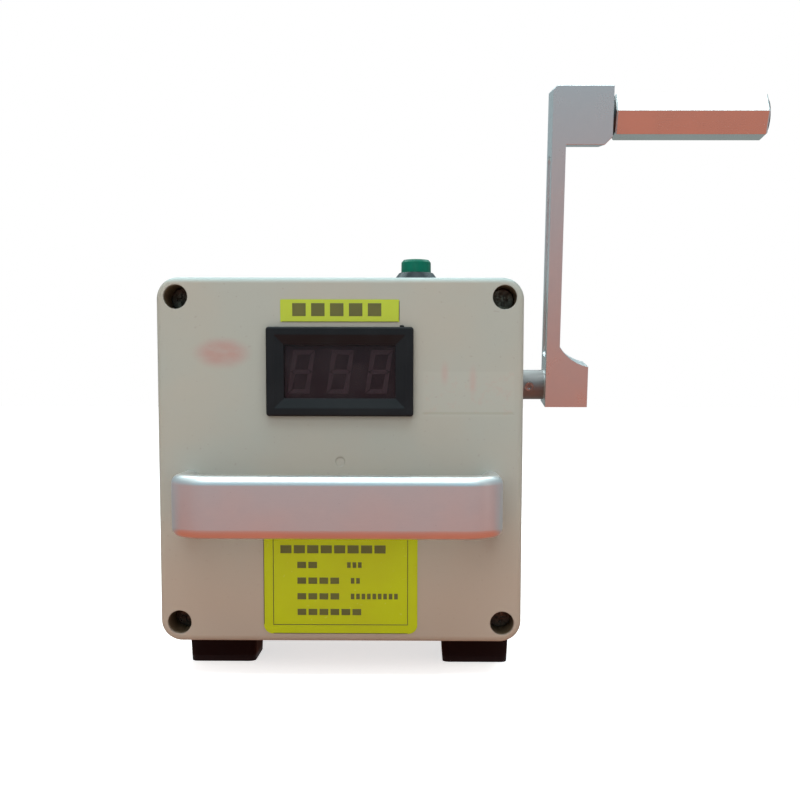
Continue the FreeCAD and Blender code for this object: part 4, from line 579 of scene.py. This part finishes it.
zinc = plated_metal("zinc_plating", (0.62, 0.63, 0.63), (0.52, 0.52, 0.50), 0.30)
black_steel = plated_metal("blackened_steel", (0.055, 0.055, 0.06), (0.09, 0.085, 0.08), 0.38,
                           corner=(0.45, 0.44, 0.42))
dirty_steel = plated_metal("dirty_screw_steel", (0.15, 0.125, 0.095), (0.075, 0.060, 0.045), 0.26,
                           corner=(0.45, 0.44, 0.40))
# Painted glint: the grub screw's corners are tinted near white.
grub_steel_glint = plated_metal("grub_steel_painted_glint", (0.42, 0.42, 0.43), (0.22, 0.22, 0.22), 0.12,
                          corner=(0.90, 0.90, 0.90))
brass = plated_metal("turned_brass", (0.76, 0.58, 0.27), (0.62, 0.45, 0.20), 0.26, corner=(0.88, 0.74, 0.45))
copper = plated_metal("enamelled_copper", (0.72, 0.36, 0.18), (0.56, 0.26, 0.12), 0.30, corner=(0.85, 0.52, 0.34))
print("plated:", [metal.name for metal in (zinc, black_steel, dirty_steel, grub_steel_glint, brass, copper)])

# %% [markdown]
# ## Black and coloured plastics
# The meter bezel is a hard black plastic with a fine matt skin, the button a glossy green. They need
# depth rather than colour: a fine bump that breaks the highlight, dust that sits in patches, and
# paler edges where fingers rub.

# %% Recipe for hard plastic
def hard_plastic(name, shade, dust, roughness, grain_size=0.3, grain_depth=0.006, coat=0.0, edge_light=0.35,
                 gloss=0.5):
    """Plastic with dust in patches and edges that fingers have rubbed paler."""
    finish = Finish(name)
    patches = finish.ease(finish.grain(7.0, 3.0), 0.36, 0.68)
    fine = finish.grain(grain_size, 2.0, 0.6)
    colour = finish.tint(patches * 0.5, shade, dust)
    worn = finish.edge(0.35, 0.03, 0.3)
    paler = tuple(min(1.0, value * 1.6 + 0.03) for value in shade)
    colour = finish.tint(worn * edge_light, colour, paler)
    shine = roughness + 0.12 * patches + 0.06 * (fine - 0.5)
    face = finish.bump(fine, grain_depth, 0.5, finish.round_edge(0.25))
    return finish.surface(Base_Color=colour, Roughness=shine, Normal=face, Coat_Weight=coat, Coat_Roughness=0.12,
                          Specular_IOR_Level=gloss)


black_plastic = hard_plastic("black_plastic_skin", (0.0055, 0.0062, 0.0078), (0.008, 0.0092, 0.011), 0.34,
                             edge_light=0.2, gloss=0.24)
print("nodes in the black plastic:", len(black_plastic.node_tree.nodes))

# %% Plastics that show
collar_plastic = hard_plastic("button_collar_black", (0.010, 0.017, 0.022), (0.013, 0.021, 0.026), 0.20,
                              0.4, 0.004, edge_light=0.3, gloss=0.28)
button_green = hard_plastic("button_green", (0.0, 0.112, 0.068), (0.0, 0.135, 0.085), 0.24,
                            0.5, 0.008, edge_light=0.2, gloss=0.16)
socket_red = hard_plastic("socket_red", (0.52, 0.02, 0.018), (0.58, 0.045, 0.03), 0.30, 0.4, coat=0.3)
display_black = hard_plastic("display_face_black", (0.018, 0.009, 0.012), (0.024, 0.013, 0.016), 0.45, 0.5, 0.001)
display_grey = hard_plastic("unlit_bars", (0.200, 0.130, 0.155), (0.160, 0.105, 0.125), 0.5, 0.5, 0.001)
shown = (collar_plastic, button_green, socket_red, display_black, display_grey)
print("plastics that show:", [plastic.name for plastic in shown])

# %% Plastics and pressed parts inside
carbon = hard_plastic("brush_carbon", (0.03, 0.03, 0.03), (0.05, 0.05, 0.05), 0.5)
sleeve = hard_plastic("capacitor_sleeve_blue", (0.03, 0.05, 0.16), (0.04, 0.06, 0.18), 0.25, 0.6, 0.004, coat=0.4)
lead_cover = hard_plastic("lead_cover_red", (0.42, 0.04, 0.035), (0.36, 0.035, 0.03), 0.4)
board_green = hard_plastic("board_laminate", (0.03, 0.17, 0.07), (0.04, 0.21, 0.09), 0.3, 1.2, 0.004, coat=0.5)
ferrite = hard_plastic("sintered_ferrite", (0.10, 0.10, 0.10), (0.14, 0.13, 0.12), 0.6, 0.25, 0.02)
print("inside:", [part.name for part in (carbon, sleeve, lead_cover, board_green, ferrite)])

# %% [markdown]
# ## Rubber feet
# Soft black rubber is dull, slightly brown-grey where dust clings, with a faint stipple and scuffed
# rims. It is the same recipe as plastic, but rougher, with a coarser bump and more dust.

# %% Rubber
rubber = hard_plastic("foot_rubber", (0.007, 0.001, 0.001), (0.013, 0.005, 0.005), 0.72, 0.6, 0.03,
                      edge_light=0.3, gloss=0.15)
print("rubber:", rubber.name)

# %% [markdown]
# ## Meter window
# A dark red filter covers the figures. Clear plastic could be made with transmission, but light then
# struggles to reach what lies behind it. A half see-through surface with a dark tint and a gloss
# shows the unlit bars just as faintly, and costs little.

# %% Window filter
FILTER_CLEAN = (0.020, 0.010, 0.014)
FILTER_SMUDGED = (0.030, 0.018, 0.022)
FILTER_VEIL = 0.46


def tinted_window(name):
    """A dark filter that lets about half through, with finger smudges."""
    finish = Finish(name)
    smudges = finish.ease(finish.grain(6.0, 4.0, 0.6), 0.42, 0.70)
    colour = finish.tint(smudges, FILTER_CLEAN, FILTER_SMUDGED)
    face = finish.bump(finish.grain(14.0), 0.02, 0.3)
    return finish.surface(Base_Color=colour, Roughness=0.10 + 0.16 * smudges, Alpha=FILTER_VEIL + 0.08 * smudges,
                          Normal=face, Specular_IOR_Level=0.3)


window_filter = tinted_window("window_filter_red")
print("window veil:", FILTER_VEIL)

# %% [markdown]
# ## Yellow film labels
# The labels are printed yellow film under a clear gloss. The film is never quite flat: it has broad
# shallow waves and tiny trapped bubbles, and its cut edge is darkened as a painted shadow. The ink is dull and
# sunk in.

# %% Label film
BUBBLE_PALE = (0.62, 0.62, 0.20)
RIM_PAINTED_SHADOW = (0.20, 0.20, 0.03)


def label_film(name, shade, deep, gloss=0.4):
    """Printed film whose tone wanders from shade to deep."""
    finish = Finish(name)
    waves = finish.grain(9.0, 2.0)
    tone = finish.ease(finish.grain(14.0, 3.0), 0.32, 0.70)
    bubbles = finish.ease(finish.grain(1.3, 2.0), 0.68, 0.76)
    colour = finish.tint(tone, shade, deep)
    colour = finish.tint(bubbles * 0.15, colour, BUBBLE_PALE)
    rim = finish.edge(0.25, 0.05, 0.4)
    # Painted shadow: the film's rim is darkened where the label's edge would cast a thin shade.
    colour = finish.tint(rim * 0.5, colour, RIM_PAINTED_SHADOW)
    face = finish.bump(waves + 0.08 * bubbles, 0.05, 0.35)
    return finish.surface(Base_Color=colour, Roughness=0.30 + 0.12 * tone, Normal=face, Specular_IOR_Level=gloss)


label_yellow = label_film("label_film_yellow", (0.405, 0.500, 0.024), (0.390, 0.475, 0.018))
# Painted warm light: the lower label is a warmer copy of the same film, like the warm tint low on the box.
label_warm_cast = label_film("label_film_warm_cast", (0.440, 0.490, 0.002), (0.425, 0.450, 0.001), 0.22)
label_ink = hard_plastic("label_ink", (0.095, 0.095, 0.012), (0.120, 0.120, 0.014), 0.5)
print("labels:", [film.name for film in (label_yellow, label_warm_cast, label_ink)])

# %% [markdown]
# ## Give every solid its finish
# Each solid comes with the name of its finish. A table from that name to a material dresses them
# all; a second, shorter table names the solids that deserve a finish of their own.

# %% Dress the solids
FINISHES = {
    "abs_body": box_plastic, "black_rubber": rubber, "satin_aluminium": arm_metal, "zinc_steel": zinc,
    "black_steel": black_steel, "black_plastic": black_plastic, "window_filter": window_filter,
    "display_face": display_black, "display_bars": display_grey, "circuit_board": board_green,
    "yellow_label": label_yellow, "green_plastic": button_green, "red_plastic": socket_red,
    "brass": brass, "plate_aluminium": plate_metal, "magnet_ferrite": ferrite, "copper": copper,
    "carbon": carbon, "capacitor_sleeve": sleeve, "lead_insulation": lead_cover,
}
SPECIAL = {
    "lid": lid_plastic, "carry_handle": handle_metal, "crank_grip": grip_metal, "rating_label": label_warm_cast,
    # Painted shade: grip_washer gets blackened steel so the gap beside the grip shows dark.
    "lid_screws": dirty_steel, "crank_grub_screw": grub_steel_glint, "grip_washer": black_steel,
}
for node_name, solid in nodes.items():
    finish_name = solid.material_slots[0].material.name.split(".")[0]
    solid.material_slots[0].material = SPECIAL.get(node_name, FINISHES[finish_name])
print("finishes given:", len(nodes))

# %% [markdown]
# ## Modelling by hand, in code
# The pieces below are modelled as at the screen: add a primitive, pick faces, extrude, inset, bevel.
# An operator works on whatever is selected, so everything is first let go, and faces are then picked
# by a test on their place and direction. Sizes are given in millimetres.

# %% Start, pick and join
def deselect():
    """Nothing is selected, in object mode."""
    if bpy.context.object and bpy.context.object.mode != "OBJECT":
        bpy.ops.object.mode_set(mode="OBJECT")
    bpy.ops.object.select_all(action="DESELECT")


def settle():
    """Moves the active object's place, turn and size into its mesh."""
    bpy.ops.object.transform_apply(location=True, rotation=True, scale=True)


def start_box(name, low, high):
    """A cube primitive between two corners."""
    deselect()
    middle = [(a + b) * 0.5 * MM for a, b in zip(low, high)]
    bpy.ops.mesh.primitive_cube_add(size=1.0, location=middle)
    piece = bpy.context.object
    piece.name = name
    piece.scale = [(b - a) * MM for a, b in zip(low, high)]
    settle()
    return piece


def pick_faces(piece, test):
    """Selects the faces whose centre and normal pass the test, and stays in edit mode."""
    bpy.ops.object.mode_set(mode="EDIT")
    bpy.ops.mesh.select_mode(type="FACE")
    bpy.ops.mesh.select_all(action="DESELECT")
    bpy.ops.object.mode_set(mode="OBJECT")
    for face in piece.data.polygons:
        face.select = test(face.center, face.normal)
    bpy.ops.object.mode_set(mode="EDIT")


def join_pieces(name, pieces):
    """One object from several."""
    deselect()
    for piece in pieces:
        piece.select_set(True)
    bpy.context.view_layer.objects.active = pieces[0]
    bpy.ops.object.join()
    pieces[0].name = name
    return pieces[0]


deselect()
print("still selected:", len(bpy.context.selected_objects))


# %% Finish a piece and read a box
def finish_piece(piece, material, body):
    """Gives a modelled piece its material and its body."""
    deselect()
    piece.data.materials.clear()
    piece.data.materials.append(material)
    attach(piece, body)
    print(piece.name, "faces:", len(piece.data.polygons))
    return piece


def box_mm(node_name):
    """The lowest and highest corners of a solid, in millimetres."""
    return [corner * (1.0 / MM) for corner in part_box(node_name)]


print("rating label in mm:", [round(value, 1) for value in box_mm("rating_label")[1] - box_mm("rating_label")[0]])

# %% [markdown]
# ## Print on the labels
# The labels carry plain blocks in place of words, and the lower one a thin frame, like an unfilled
# plate. Ink could be a pattern in the film, but a real thin layer stays crisp however near the eye
# comes. Each block is a box with its front inset, and the frame is a plate whose middle is taken
# out. Thin strips along two sides of each label are the shadow line of the film's cut edge.

# %% Ink bars, blocks and frames
label_low, label_high = box_mm("rating_label")
LABEL_FACE = label_low.y
INK_PROUD = 0.03
INK_SUNK = 0.02
INK_RIM = 0.04
EDGE_SHADOW_WIDTH = 0.22


def ink_plate(name, left, right_side, bottom, top):
    """A thin box that lies half sunk in the front of a label."""
    return start_box(name, (left, LABEL_FACE - INK_PROUD, bottom), (right_side, LABEL_FACE + INK_SUNK, top))


def ink_bar(name, left, right_side, bottom, top):
    """One printed bar, with a thin rim round its front."""
    bar = ink_plate(name, left, right_side, bottom, top)
    pick_faces(bar, lambda centre, normal: normal.y < -0.5)
    bpy.ops.mesh.inset(thickness=INK_RIM * MM)
    bpy.ops.object.mode_set(mode="OBJECT")
    return bar


def ink_frame(name, left, right_side, bottom, top, line):
    """A printed rectangular frame: a thin plate whose middle is inset and taken out."""
    plate = ink_plate(name, left, right_side, bottom, top)
    pick_faces(plate, lambda centre, normal: abs(normal.y) > 0.5)
    bpy.ops.mesh.inset(thickness=line * MM)
    bpy.ops.mesh.bridge_edge_loops()
    bpy.ops.object.mode_set(mode="OBJECT")
    return plate


def ink_blocks(left, count, width, gap, bottom, top):
    """A row of equal printed blocks, like the words of an unfilled plate."""
    starts = [left + block * (width + gap) for block in range(count)]
    return [ink_bar("block", start, start + width, bottom, top) for start in starts]


def edge_shadow_strips(low, high, side_left, corner):
    """Painted shadow: a dark strip along one side of a label and one along its bottom."""
    return [ink_bar("edge", side_left, side_left + EDGE_SHADOW_WIDTH, low.z + corner, high.z - corner),
            ink_bar("edge", low.x + corner, high.x - corner, low.z, low.z + EDGE_SHADOW_WIDTH)]


print("labels' front in mm:", round(LABEL_FACE, 2))

# %% Print of the rating label
ROW_PITCH = 5.25
TITLE_MIDDLE = 43.0
TITLE_HALF, WORD_HALF, DIGIT_HALF = 1.35, 1.05, 0.95
WORD, WORD_GAP, TITLE_EXTRA = 2.9, 0.75, 0.8
DIGIT, DIGIT_GAP = 1.2, 0.6
ROWS = [(-19.9, 8, 0, 0.0), (-14.3, 2, 3, 2.2), (-14.3, 4, 2, 3.4), (-14.3, 4, 9, 3.4), (-14.3, 6, 0, 0.0)]
CORNER = 3.2

marks = [ink_frame("rating_frame", -22.4, 22.4, 17.6, 46.6, 0.25)]
for row, (left, words, digits, digits_left) in enumerate(ROWS):
    middle = TITLE_MIDDLE - ROW_PITCH * row
    half = TITLE_HALF if row == 0 else WORD_HALF
    width = WORD + TITLE_EXTRA if row == 0 else WORD
    marks += ink_blocks(left, words, width, WORD_GAP, middle - half, middle + half)
    marks += ink_blocks(digits_left, digits, DIGIT, DIGIT_GAP, middle - DIGIT_HALF, middle + DIGIT_HALF)
# Painted shadow strips along the rating label's left side and bottom.
marks += edge_shadow_strips(label_low, label_high, label_low.x, CORNER)
finish_piece(join_pieces("rating_print_and_edge_shadow", marks), label_ink, "housing")

# %% Print of the meter's label
NAME_LEFT = -15.5
NAME_BLOCK, NAME_GAP = 4.4, 1.75
NAME_HEIGHTS = (119.4, 123.6)
NAME_CORNER = 0.5

name_low, name_high = box_mm("meter_label")
marks = ink_blocks(NAME_LEFT, 5, NAME_BLOCK, NAME_GAP, *NAME_HEIGHTS)
# Painted shadow strips along the meter label's right side and bottom.
marks += edge_shadow_strips(name_low, name_high, name_high.x - EDGE_SHADOW_WIDTH, NAME_CORNER)
finish_piece(join_pieces("meter_print_and_edge_shadow", marks), label_ink, "housing")

# %% [markdown]
# ## Figures of the display
# An unlit seven-bar figure shows as faint grey bars with mitred ends and hair gaps between them. Each
# bar is a box whose inner face is drawn in along its length, which cuts the mitres, and the middle
# bar gets a point at both ends. Leaning every bar by its height gives the usual slant.

# %% Bars of one figure
bars_low, bars_high = box_mm("display_segments")
BAR = 1.45
HAIR_GAP = 0.12
LEAN = 0.1405
FIGURE_PITCH = 12.7
BLUNT_POINT = 0.08
bars_middle = (bars_low.z + bars_high.z) * 0.5
figure_width = bars_high.x - bars_low.x - 2.0 * FIGURE_PITCH - LEAN * (bars_high.z - bars_low.z)


def figure_bar(left, right_side, bottom, top, axis, sign, pivot):
    """A leaning bar whose face on one side is drawn in about a pivot, to cut its mitres."""
    bar = start_box("bar", (left, bars_low.y, bottom), (right_side, bars_high.y, top))
    long_axis = 2 - axis
    length = (right_side - left, 0.0, top - bottom)[long_axis]
    start = (left, 0.0, bottom)[long_axis]
    drawn_in = [1.0, 1.0, 1.0]
    drawn_in[long_axis] = (length - BAR * (2.0 if axis == 2 else 1.5)) / length
    centre = [(left + right_side) * 0.5, bars_low.y, (bottom + top) * 0.5]
    centre[long_axis] = start + length * pivot
    pick_faces(bar, lambda middle, normal: normal[axis] * sign > 0.9)
    bpy.ops.transform.resize(value=drawn_in, center_override=[value * MM for value in centre])
    pick_faces(bar, lambda middle, normal: normal.z > 0.5)
    bpy.ops.transform.translate(value=(LEAN * (top - bottom) * MM, 0.0, 0.0))
    bpy.ops.mesh.select_all(action="SELECT")
    bpy.ops.transform.translate(value=(LEAN * (bottom - bars_middle) * MM, 0.0, 0.0))
    bpy.ops.object.mode_set(mode="OBJECT")
    return bar


def middle_bar(left, right_side):
    """The bar across the middle, with a point at both ends."""
    half = BAR * 0.5
    bar = start_box("bar", (left + half, bars_low.y, bars_middle - half),
                    (right_side - half, bars_high.y, bars_middle + half))
    for sign, end in ((-1.0, left), (1.0, right_side)):
        pivot = (end * MM, bars_low.y * MM, bars_middle * MM)
        pick_faces(bar, lambda middle, normal: normal.x * sign > 0.9)
        bpy.ops.mesh.extrude_region_move(TRANSFORM_OT_translate={"value": (sign * half * MM, 0.0, 0.0)})
        bpy.ops.transform.resize(value=(1.0, 1.0, BLUNT_POINT), center_override=pivot)
        bpy.ops.object.mode_set(mode="OBJECT")
    return bar


print("one figure in mm:", round(figure_width, 2), "by", round(bars_high.z - bars_low.z, 2))

# %% Three figures
figure_bars = []
bottom, top = bars_low.z, bars_high.z
for figure in (-1, 0, 1):
    middle = (bars_low.x + bars_high.x) * 0.5 + figure * FIGURE_PITCH
    left, right_side = middle - figure_width * 0.5, middle + figure_width * 0.5
    inner, outer = left + HAIR_GAP, right_side - HAIR_GAP
    figure_bars += [figure_bar(inner, outer, top - BAR, top, 2, -1.0, 0.5),
                    figure_bar(inner, outer, bottom, bottom + BAR, 2, 1.0, 0.5),
                    middle_bar(inner + 0.4 * BAR, outer - 0.4 * BAR)]
    for edge, side in ((left, 1.0), (right_side - BAR, -1.0)):
        for low, high, pivot in ((bars_middle + HAIR_GAP, top - HAIR_GAP, 1.0 / 3.0),
                                 (bottom + HAIR_GAP, bars_middle - HAIR_GAP, 2.0 / 3.0)):
            figure_bars.append(figure_bar(edge, edge + BAR, low, high, 0, side, pivot))
figures = finish_piece(join_pieces("figure_bars", figure_bars), display_grey, "housing")
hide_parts("display_segments")

# %% [markdown]
# ## Turned shapes
# Collar, screws and nub are all round. A profile could be spun about an axis, but a disc that is
# extruded and widened step by step keeps its round faces whole, which makes it easy to pick the top
# again for the next step. A bevel then softens the sharp edges, because real edges catch light.

# %% Disc, step and bevel
TOUCH = 1e-6
SHARP = 0.6


def start_disc(name, radius, low, high, middle=(0.0, 0.0), sides=48):
    """A cylinder primitive that stands along Z between two heights."""
    deselect()
    place = (middle[0] * MM, middle[1] * MM, (low + high) * 0.5 * MM)
    bpy.ops.mesh.primitive_cylinder_add(vertices=sides, radius=radius * MM, depth=(high - low) * MM,
                                        location=place)
    piece = bpy.context.object
    piece.name = name
    settle()
    return piece


def grow_top(piece, rise, widen, middle):
    """Extrudes the highest face by rise and widens its new rim by a factor."""
    top = max(corner.co.z for corner in piece.data.vertices)
    pick_faces(piece, lambda centre, normal: normal.z > 0.9 and centre.z > top - TOUCH)
    bpy.ops.mesh.extrude_region_move(TRANSFORM_OT_translate={"value": (0.0, 0.0, rise * MM)})
    pivot = (middle[0] * MM, middle[1] * MM, top + rise * MM)
    bpy.ops.transform.resize(value=(widen, widen, 1.0), center_override=pivot)
    bpy.ops.object.mode_set(mode="OBJECT")


def soften(piece, width, steps=2):
    """A real bevel on every sharp edge."""
    bevel = piece.modifiers.new("soft", "BEVEL")
    bevel.width = width * MM
    bevel.segments = steps
    bevel.limit_method = "ANGLE"
    bevel.angle_limit = SHARP
    bpy.context.view_layer.objects.active = piece
    bpy.ops.object.modifier_apply(modifier=bevel.name)


print("edges count as sharp from degrees:", round(math.degrees(SHARP), 1))

# %% [markdown]
# ## Button collar
# A push button sits in a black collar whose barrel goes down through the lid and whose top slopes up
# to the cap. One disc grows in steps: barrel, flange, wall and slope. Insetting both of its ends and
# bridging the two inner faces then bores it right through, with no Boolean needed.

# %% Grow the collar
collar_low, collar_high = box_mm("button_bezel")
collar_middle = ((collar_low.x + collar_high.x) * 0.5, (collar_low.y + collar_high.y) * 0.5)
BARREL_RADIUS = 6.0
COLLAR_RADIUS = 8.0
RIM_RADIUS = 6.1
BORE_RADIUS = 5.56
LID_TOP = 132.0
FLANGE = 3.1

collar = start_disc("button_collar", BARREL_RADIUS, collar_low.z, LID_TOP, collar_middle, sides=64)
grow_top(collar, 0.0, COLLAR_RADIUS / BARREL_RADIUS, collar_middle)
grow_top(collar, FLANGE, 1.0, collar_middle)
grow_top(collar, collar_high.z - LID_TOP - FLANGE, RIM_RADIUS / COLLAR_RADIUS, collar_middle)
print("collar height in mm:", round(collar_high.z - collar_low.z, 2))

# %% Bore the collar
CENTRED = 1e-5
ends = (collar_low.z * MM, collar_high.z * MM)


def lies_flat(centre, normal, height):
    """True for a level face at a height."""
    return abs(normal.z) > 0.9 and abs(centre.z - height) < TOUCH


def on_axis(centre):
    """True for a face whose centre is on the collar's axis."""
    return all(abs(centre[axis] - collar_middle[axis] * MM) < CENTRED for axis in (0, 1))


for end, rim_radius in zip(ends, (BARREL_RADIUS, RIM_RADIUS)):
    pick_faces(collar, lambda centre, normal: lies_flat(centre, normal, end))
    bpy.ops.mesh.inset(thickness=(rim_radius - BORE_RADIUS) * MM)
    bpy.ops.object.mode_set(mode="OBJECT")
pick_faces(collar, lambda centre, normal: on_axis(centre) and any(lies_flat(centre, normal, end) for end in ends))
bpy.ops.mesh.bridge_edge_loops()
bpy.ops.mesh.select_all(action="SELECT")
bpy.ops.mesh.normals_make_consistent(inside=False)
bpy.ops.object.mode_set(mode="OBJECT")
soften(collar, 0.18)
finish_piece(collar, collar_plastic, "housing")
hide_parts("button_bezel")

# %% [markdown]
# ## Return spring
# The spring under the cap is a small ring of wire that a Screw modifier winds up the axis, which is
# simpler than sweeping a bevel along a helix curve. It is the one piece that shortens in use.

# %% Wind the spring
spring_low, spring_high = box_mm("button_spring")
WIRE_RADIUS = 0.35
COILS = 3
COIL_STEPS = 28
QUARTER_TURN = 1.5708

deselect()
coil_radius = (spring_high.x - spring_low.x) * 0.5 - WIRE_RADIUS
bpy.ops.mesh.primitive_circle_add(vertices=10, radius=WIRE_RADIUS * MM, fill_type="NOTHING",
                                  location=(coil_radius * MM, 0.0, 0.0), rotation=(QUARTER_TURN, 0.0, 0.0))
spring = bpy.context.object
spring.name = "return_spring"
settle()
winding = spring.modifiers.new("winding", "SCREW")
winding.axis = "Z"
winding.iterations = COILS
winding.steps = COIL_STEPS
winding.screw_offset = (spring_high.z - spring_low.z - 2.0 * WIRE_RADIUS) / COILS * MM
bpy.ops.object.modifier_apply(modifier=winding.name)
print("coil radius in mm:", round(coil_radius, 2))

bpy.ops.object.mode_set(mode="EDIT")
bpy.ops.mesh.select_all(action="SELECT")
bpy.ops.mesh.fill_holes(sides=0)
bpy.ops.mesh.select_all(action="SELECT")
bpy.ops.mesh.normals_make_consistent(inside=False)
bpy.ops.object.mode_set(mode="OBJECT")
spring.location = (collar_middle[0] * MM, collar_middle[1] * MM, (spring_low.z + WIRE_RADIUS) * MM)
settle()
finish_piece(spring, zinc, "housing")
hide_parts("button_spring")
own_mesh(spring)

# %% [markdown]
# ## Wall screws
# Four pan-head screws hold the gear plates through the right wall. The head is a disc with a wide
# soft bevel, and its cross is cut by two thin boxes with a Boolean, because a cross of bump alone
# goes flat when it is seen from the side. Each cross is turned by its own amount, as no hand stops
# every screw at the same angle.

# %% One screw
screw_low, screw_high = box_mm("gearbox_wall_screws")
WALL_FACE = 60.0
HEAD_RADIUS = 2.8
HEAD_BEVEL = 0.7
SHANK_RADIUS = 1.5
SHANK_OVERLAP = 0.2
CROSS_HALF_LENGTH = 1.65
CROSS_HALF_WIDTH = 0.30
CROSS_DEPTH = 1.0


def wall_screw(name, across, up, turn):
    """A pan-head screw along X whose cross recess is turned by an angle."""
    head_height = screw_high.x - WALL_FACE
    head = start_disc(name, HEAD_RADIUS, 0.0, head_height)
    soften(head, HEAD_BEVEL, 4)
    for arm_turn in (0.0, QUARTER_TURN):
        blade = start_box("blade", (-CROSS_HALF_LENGTH, -CROSS_HALF_WIDTH, head_height - CROSS_DEPTH),
                          (CROSS_HALF_LENGTH, CROSS_HALF_WIDTH, head_height + CROSS_DEPTH))
        blade.rotation_euler.z = turn + arm_turn
        settle()
        cut = head.modifiers.new("cross", "BOOLEAN")
        cut.operation = "DIFFERENCE"
        cut.object = blade
        bpy.context.view_layer.objects.active = head
        bpy.ops.object.modifier_apply(modifier=cut.name)
        deselect()
        blade.select_set(True)
        bpy.ops.object.delete()
    shank = start_disc("shank", SHANK_RADIUS, screw_low.x - WALL_FACE, SHANK_OVERLAP, sides=24)
    soften(shank, 0.25)
    whole = join_pieces(name, [head, shank])
    whole.rotation_euler.y = QUARTER_TURN
    whole.location = (WALL_FACE * MM, across * MM, up * MM)
    settle()
    return whole


print("screw length in mm:", round(screw_high.x - screw_low.x, 2))

# %% Four screws
TURNS = (0.35, 1.05, 0.70, 1.30)
screw_places = [(across, up) for across in (screw_low.y + HEAD_RADIUS, screw_high.y - HEAD_RADIUS)
                for up in (screw_low.z + HEAD_RADIUS, screw_high.z - HEAD_RADIUS)]
screws = [wall_screw("wall_screw", across, up, turn) for (across, up), turn in zip(screw_places, TURNS)]
wall_screws = finish_piece(join_pieces("wall_screws", screws), zinc, "housing")
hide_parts("gearbox_wall_screws")

# %% [markdown]
# ## Nub on the bezel
# A moulded part is snapped off its runner, and the bezel keeps the little stub where the plastic
# flowed in. It is a short disc that grows one narrower step and gets a fine bevel.

# %% Grow the nub
NUB_PLACE = (20.2, -46.4)
NUB_RADIUS = 0.75
NUB_SUNK, NUB_PROUD = 0.3, 0.35
bezel_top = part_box("meter_case")[1].z / MM

nub = start_disc("bezel_nub", NUB_RADIUS, bezel_top - NUB_SUNK, bezel_top + NUB_PROUD, NUB_PLACE, sides=24)
grow_top(nub, 0.2, 0.6, NUB_PLACE)
soften(nub, 0.08)
finish_piece(nub, black_plastic, "housing")

# %% [markdown]
# ## Sizes
# Dressing must not make the object bigger.
